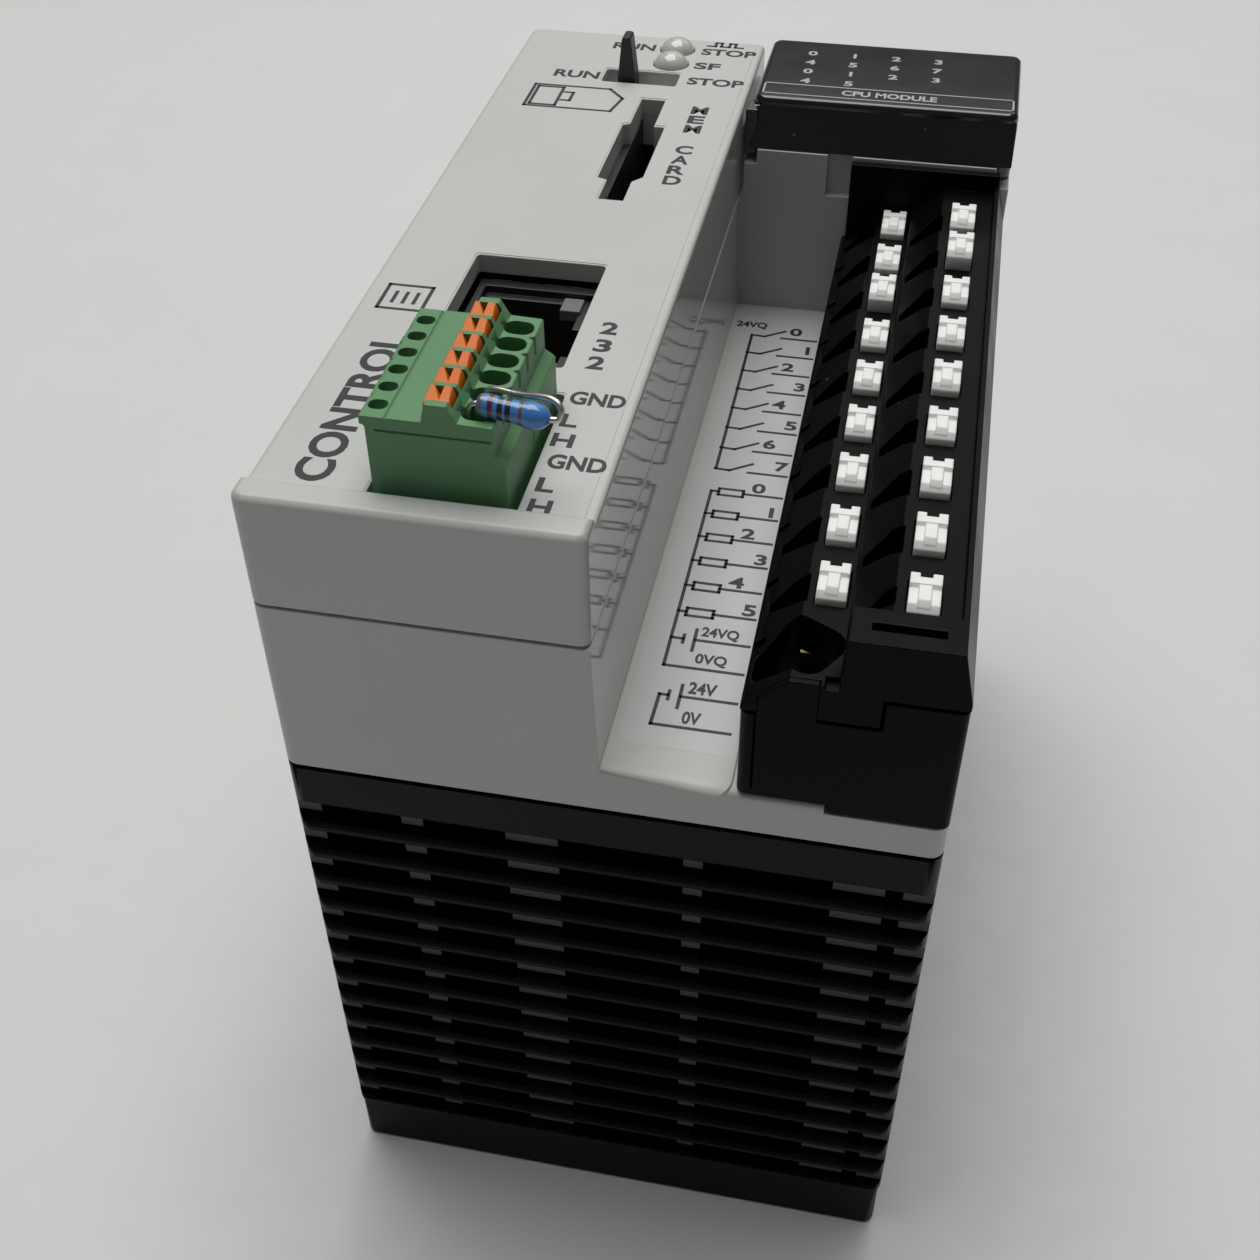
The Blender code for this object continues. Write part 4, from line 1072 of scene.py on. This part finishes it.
def make_buttons():
    for index in range(PLUG_POLES):
        node = f"plug_button_{index + 1}"
        x, y, z = spans(node)
        centre = middle(y)
        top = z[1] + 0.1
        face = [
            (x[0], z[0]), (x[1] + 0.2, z[0]), (x[1] + 0.25, top - 1.1), (x[1] - 0.1, top - 0.1),
            (x[1] - 0.3, top), (x[0] + 0.15, top), (x[0] - 0.1, top - 0.9),
        ]
        mesh = prism([face], "Y", (centre - 0.95, centre + 0.92))
        far = centre + 1.0
        apex = x[0] + 1.15
        mesh = cut(mesh, hull([
            (x[0] + 0.4, far, top + 0.1), (x[1] - 0.75, far, top + 0.1), (apex, far, top - 1.7),
            (apex, centre - 0.75, top + 0.1), (apex, centre - 0.6, top - 0.3),
        ]))
        slope = [
            (centre - 2.0, top - 0.75), (centre - 2.0, top + 1.0), (centre + 0.95, top + 1.0),
            (centre + 0.7, top),
        ]
        mesh = cut(mesh, prism([slope], "X", (x[0] - 2, x[1] + 2)))
        show(f"plug_key_{index + 1}", soft(mesh, 0.07), ORANGE, "button_orange", node, body=node)


def tube(points, radius):
    """A smooth round wire through points, with flat ends."""
    curve = bpy.data.curves.new("wire", "CURVE")
    curve.dimensions = "3D"
    curve.bevel_depth = radius
    curve.bevel_resolution = 4
    curve.use_fill_caps = True
    curve.resolution_u = 6
    spline = curve.splines.new("NURBS")
    spline.points.add(len(points) - 1)
    for point, place in zip(spline.points, points):
        point.co = (*place, 1.0)
    spline.order_u = 3
    spline.use_endpoint_u = True
    return welded(drawn_mesh(curve), 0.001)


def arc(degrees, steps):
    """The cosine and sine at each of some equal steps of an angle."""
    angles = [radians(degrees * step) for step in range(1, steps + 1)]
    return [(cos(angle), sin(angle)) for angle in angles]


def make_resistor():
    start = Vector((-10.3, PLUG_ROWS[5], 101.7))
    end = Vector((-4.55, PLUG_ROWS[5], 100.95))
    length = (end - start).length
    bulge, neck = (1.1, 0.92)
    profile = [(0.0, length), (0.36, length - 0.02)]
    profile += [(0.3 + (bulge - 0.3) * rise, length - 1.5 + 1.4 * run) for run, rise in arc(15, 6)]
    profile += [(bulge - 0.02, length - 1.8), (neck + 0.05, length - 2.3), (neck, length - 2.6)]
    profile += [(neck, 1.6), (neck + 0.04, 1.4), (neck + 0.07, 0.9), (neck + 0.02, 0.6)]
    profile += [(0.4 + (neck - 0.4) * run, 0.5 - 0.5 * rise) for run, rise in arc(18, 5)]
    profile.append((0.0, 0.0))
    mesh = turned(profile)
    turn = (end - start).to_track_quat("Z", "Y").to_matrix().to_4x4()
    mesh.transform(Matrix.Translation(start) @ turn)
    show("resistor_shell", mesh, RESISTOR, "resistor_blue", "resistor_body", body="bus_plug")
    pole_5, pole_6 = PLUG_ROWS[4], PLUG_ROWS[5]
    left = [
        start + Vector((0.2, 0, 0)), start + Vector((-0.3, 0, 0.0)), (-10.95, pole_6, 101.2),
        (-11.0, pole_6, 99.8), (-11.0, pole_6, 94.0),
    ]
    mesh = tube(left, LEAD)
    show("resistor_wire_left", mesh, TINNED, "tinned_wire", "resistor_lead_left", body="bus_plug")
    right = [
        end + Vector((-0.2, 0, 0.03)), end + Vector((0.35, 0, -0.04)), (-3.75, -44.4, 101.05),
        (-3.7, -44.2, 101.8), (-4.2, -43.8, 102.25), (-5.4, -43.3, 102.15), (-7.5, -42.75, 101.65),
        (-9.6, -42.0, 101.55), (-10.3, pole_5, 101.2), (-10.35, pole_5, 99.8), (-10.35, pole_5, 94.0),
    ]
    mesh = tube(right, LEAD)
    show("resistor_wire_right", mesh, TINNED, "tinned_wire", "resistor_lead_right", body="bus_plug")


NAVY = (0.01, 0.012, 0.03)
RESISTOR = banded(
    "resistor_blue", (0.045, 0.20, 0.52),
    [
        (0.03, 0.09, (0.13, 0.11, 0.12)), (0.17, 0.235, (0.10, 0.015, 0.03)), (0.295, 0.365, NAVY),
        (0.40, 0.47, NAVY), (0.575, 0.63, (0.10, 0.08, 0.10)),
    ],
    spans("resistor_body")[0],
)


# ---- front fittings

# One contact in the jack, as (x, depth below its mouth)
FINGER = ((-19.7, 1.2), (-18.4, 2.6), (-17.0, 7.0), (-16.8, 8.6))


def make_jack():
    x, y, z = spans("serial_jack")
    top = z[1]
    mesh = boxes([(x, y, z)])
    mesh = carved(mesh, ((-19.6, -10.4), (-23.0, -9.4), (80.9, top + 1)))
    mesh = carved(mesh, ((-11.0, -9.3), (-18.6, -13.8), (82.9, top + 1)))
    mesh = pierced(mesh, [plan((-20.2, -9.2), (-24.0, -8.6), 0.2)], (top - 0.8, top + 1))
    show("jack_shell", soft(mesh), SOCKET, "black_housing", "serial_jack")
    fingers = []
    for index in range(8):
        centre = middle((-23.0, -9.4)) + 1.02 * (index - 3.5)
        fingers.append([(x, centre, top - down) for x, down in FINGER])
    mesh = together(*[tube(points, 0.17) for points in fingers])
    show("jack_contacts", mesh, GOLD, "contact_brass")
    ledges = boxes([
        ((-19.9, -17.5), (-7.6, -6.9), (top - 1.6, top - 0.2)),
        ((-14.6, -10.7), (-7.6, -6.9), (top - 1.6, top - 0.2)),
        ((-12.2, -10.2), (-11.2, -8.8), (top - 1.6, top - 0.4)),
        ((-11.3, -8.8), (-20.9, -19.2), (top - 2.4, top - 1.2)),
    ])
    # The ledges take the painted grey, lighter than the jack's black shell, as if light catches them.
    show("jack_tabs", soft(ledges), SHADOW, "black_housing")


# The plate on the mode lever that closes its slot under the cap
SHUTTER = ((-21.6, -9.2), (34.6, 39.6), (90.3, 90.8))


def make_mode_lever():
    x, y, z = spans("mode_lever")
    centre = middle(x)
    front = rounded([
        (x[0], z[0], 0), (x[1], z[0], 0), (x[1], 93.4, 0.4), (centre + 0.5, z[1], 0.35),
        (centre - 0.5, z[1], 0.35), (x[0], 93.4, 0.4),
    ], 4)
    mesh = prism([front], "Y", y)
    show("mode_handle", soft(mesh), SWITCH, "switch_black", "mode_lever", body="mode_lever")
    shutter = carved(boxes([SHUTTER]), (grown(x, 0.02), grown(y, 0.02), (89, 92)))
    show("mode_shutter", soft(shutter, 0.08), WHITE, "light_grey_housing", body="mode_lever")


def make_mode_body():
    x, y, z = spans("mode_switch")
    mesh = boxes([(x, y, z)])
    slot = plan(grown(MODE_OPENING[0], -0.3), grown(MODE_OPENING[1], -0.1), 0.3)
    mesh = pierced(mesh, [slot], (84.0, z[1] + 1))
    # The switch body takes the painted grey of white plastic in shade.
    show("mode_body", soft(mesh, 0.15), SHADOW, "switch_black", "mode_switch")


def make_lamps():
    for node, place in zip(LEDS, LED_AT):
        bottom = spans(node)[2][0]
        spring = FRONT - 0.15
        dome = [(0.0, spring + 1.55)]
        dome += [(LED_RADIUS * rise, spring + 1.55 * run) for run, rise in arc(9, 10)]
        dome += [(LED_RADIUS, spring - 2), (LED_RADIUS - 0.1, bottom), (0.0, bottom)]
        mesh = turned(dome)
        mesh.transform(Matrix.Translation((*place, 0)))
        show(node + "_lens", mesh, LENS, "clear_lens", node)


def make_backplane():
    x, y, z = spans("backplane_connector")
    mesh = boxes([(x, y, z)])
    mesh = carved(mesh, ((-3.4, 3.4), (-20.0, 20.0), (-1.0, 5.6)))
    mesh = joined(mesh, boxes([((-0.6, 0.6), (-20.5, 20.5), (1.2, 6.0))]))
    show("backplane_body", soft(mesh, 0.15), SOCKET, "black_housing", "backplane_connector")
    pins = []
    for row in range(16):
        centre = -19.05 + 2.54 * row
        for side in (-1, 1):
            pins.append((grown((side * 0.75,) * 2, 0.2), grown((centre, centre), 0.4), (1.4, 5.9)))
    show("backplane_contacts", soft(boxes(pins), 0.05), GOLD, "contact_brass")


def finish_hidden_nodes():
    """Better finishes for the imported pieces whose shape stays."""
    finishes = {
        "led_board": BOARD, "front_board": BOARD, "cpu_board": BOARD, "io_board": BOARD,
        "light_guide": CLEAR, "contact_strip_left": BRASS, "contact_strip_right": BRASS,
        "bus_header": GREEN, "card_socket": SOCKET, "terminal_header": SOCKET, "backup_cell": STEEL,
    }
    for node, material in finishes.items():
        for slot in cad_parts[node].material_slots:
            slot.material = material


# ---- camera, light and floor

def make_camera():
    data = bpy.data.cameras.new("camera")
    data.lens = 45.394
    data.sensor_width = 36.0
    data.clip_start = 0.005
    data.clip_end = 20.0
    camera = placed("camera", data)
    heading = Matrix.Rotation(radians(11.9187), 4, "Z")
    tilt = Matrix.Rotation(radians(90 - 41.9429), 4, "X")
    roll = Matrix.Rotation(radians(-0.5904), 4, "Z")
    place = Matrix.Translation(Vector((22.032, -141.853, 169.859)) * MM)
    camera.matrix_world = place @ heading @ tilt @ roll
    bpy.context.scene.camera = camera


def area_light(name, place, target, size, power, colour):
    data = bpy.data.lights.new(name, "AREA")
    data.shape = "RECTANGLE"
    data.size, data.size_y = size
    data.energy = power
    data.color = colour
    light = placed(name, data)
    light.location = place
    light.rotation_euler = (Vector(target) - Vector(place)).to_track_quat("-Z", "Y").to_euler()


def make_lights():
    centre = (0.0, 0.0, 0.06)
    area_light("key", (-0.12, 0.28, 1.3), centre, (1.0, 1.0), 15.0, (1.0, 0.995, 0.98))
    area_light("back", (0.1, 1.35, 1.25), centre, (1.6, 1.1), 4.5, (0.98, 0.99, 1.0))
    world = bpy.data.worlds.new("studio")
    world.use_nodes = True
    backdrop = world.node_tree.nodes["Background"]
    backdrop.inputs["Color"].default_value = (0.93, 0.95, 1.0, 1.0)
    backdrop.inputs["Strength"].default_value = 0.1
    bpy.context.scene.world = world
    bpy.context.scene.view_settings.view_transform = "Standard"


def make_floor():
    bm = bmesh.new()
    bmesh.ops.create_grid(bm, x_segments=1, y_segments=1, size=2.5)
    mesh = bpy.data.meshes.new("floor")
    bm.to_mesh(mesh)
    bm.free()
    mesh.materials.append(surface("floor_pale", (0.68, 0.68, 0.67), 0.6, grain=300, vary=0.01))
    placed("floor", mesh)


for make in (
    make_camera, make_lights, make_floor, make_base, make_rear_band, make_frame, make_cap,
    make_card_well, make_front_legends, make_wiring_label, make_window, make_block_cover,
    make_block_base, make_levers, make_screw, make_plug, make_buttons, make_resistor, make_jack,
    make_mode_lever, make_mode_body, make_lamps, make_backplane, finish_hidden_nodes,
):
    make()
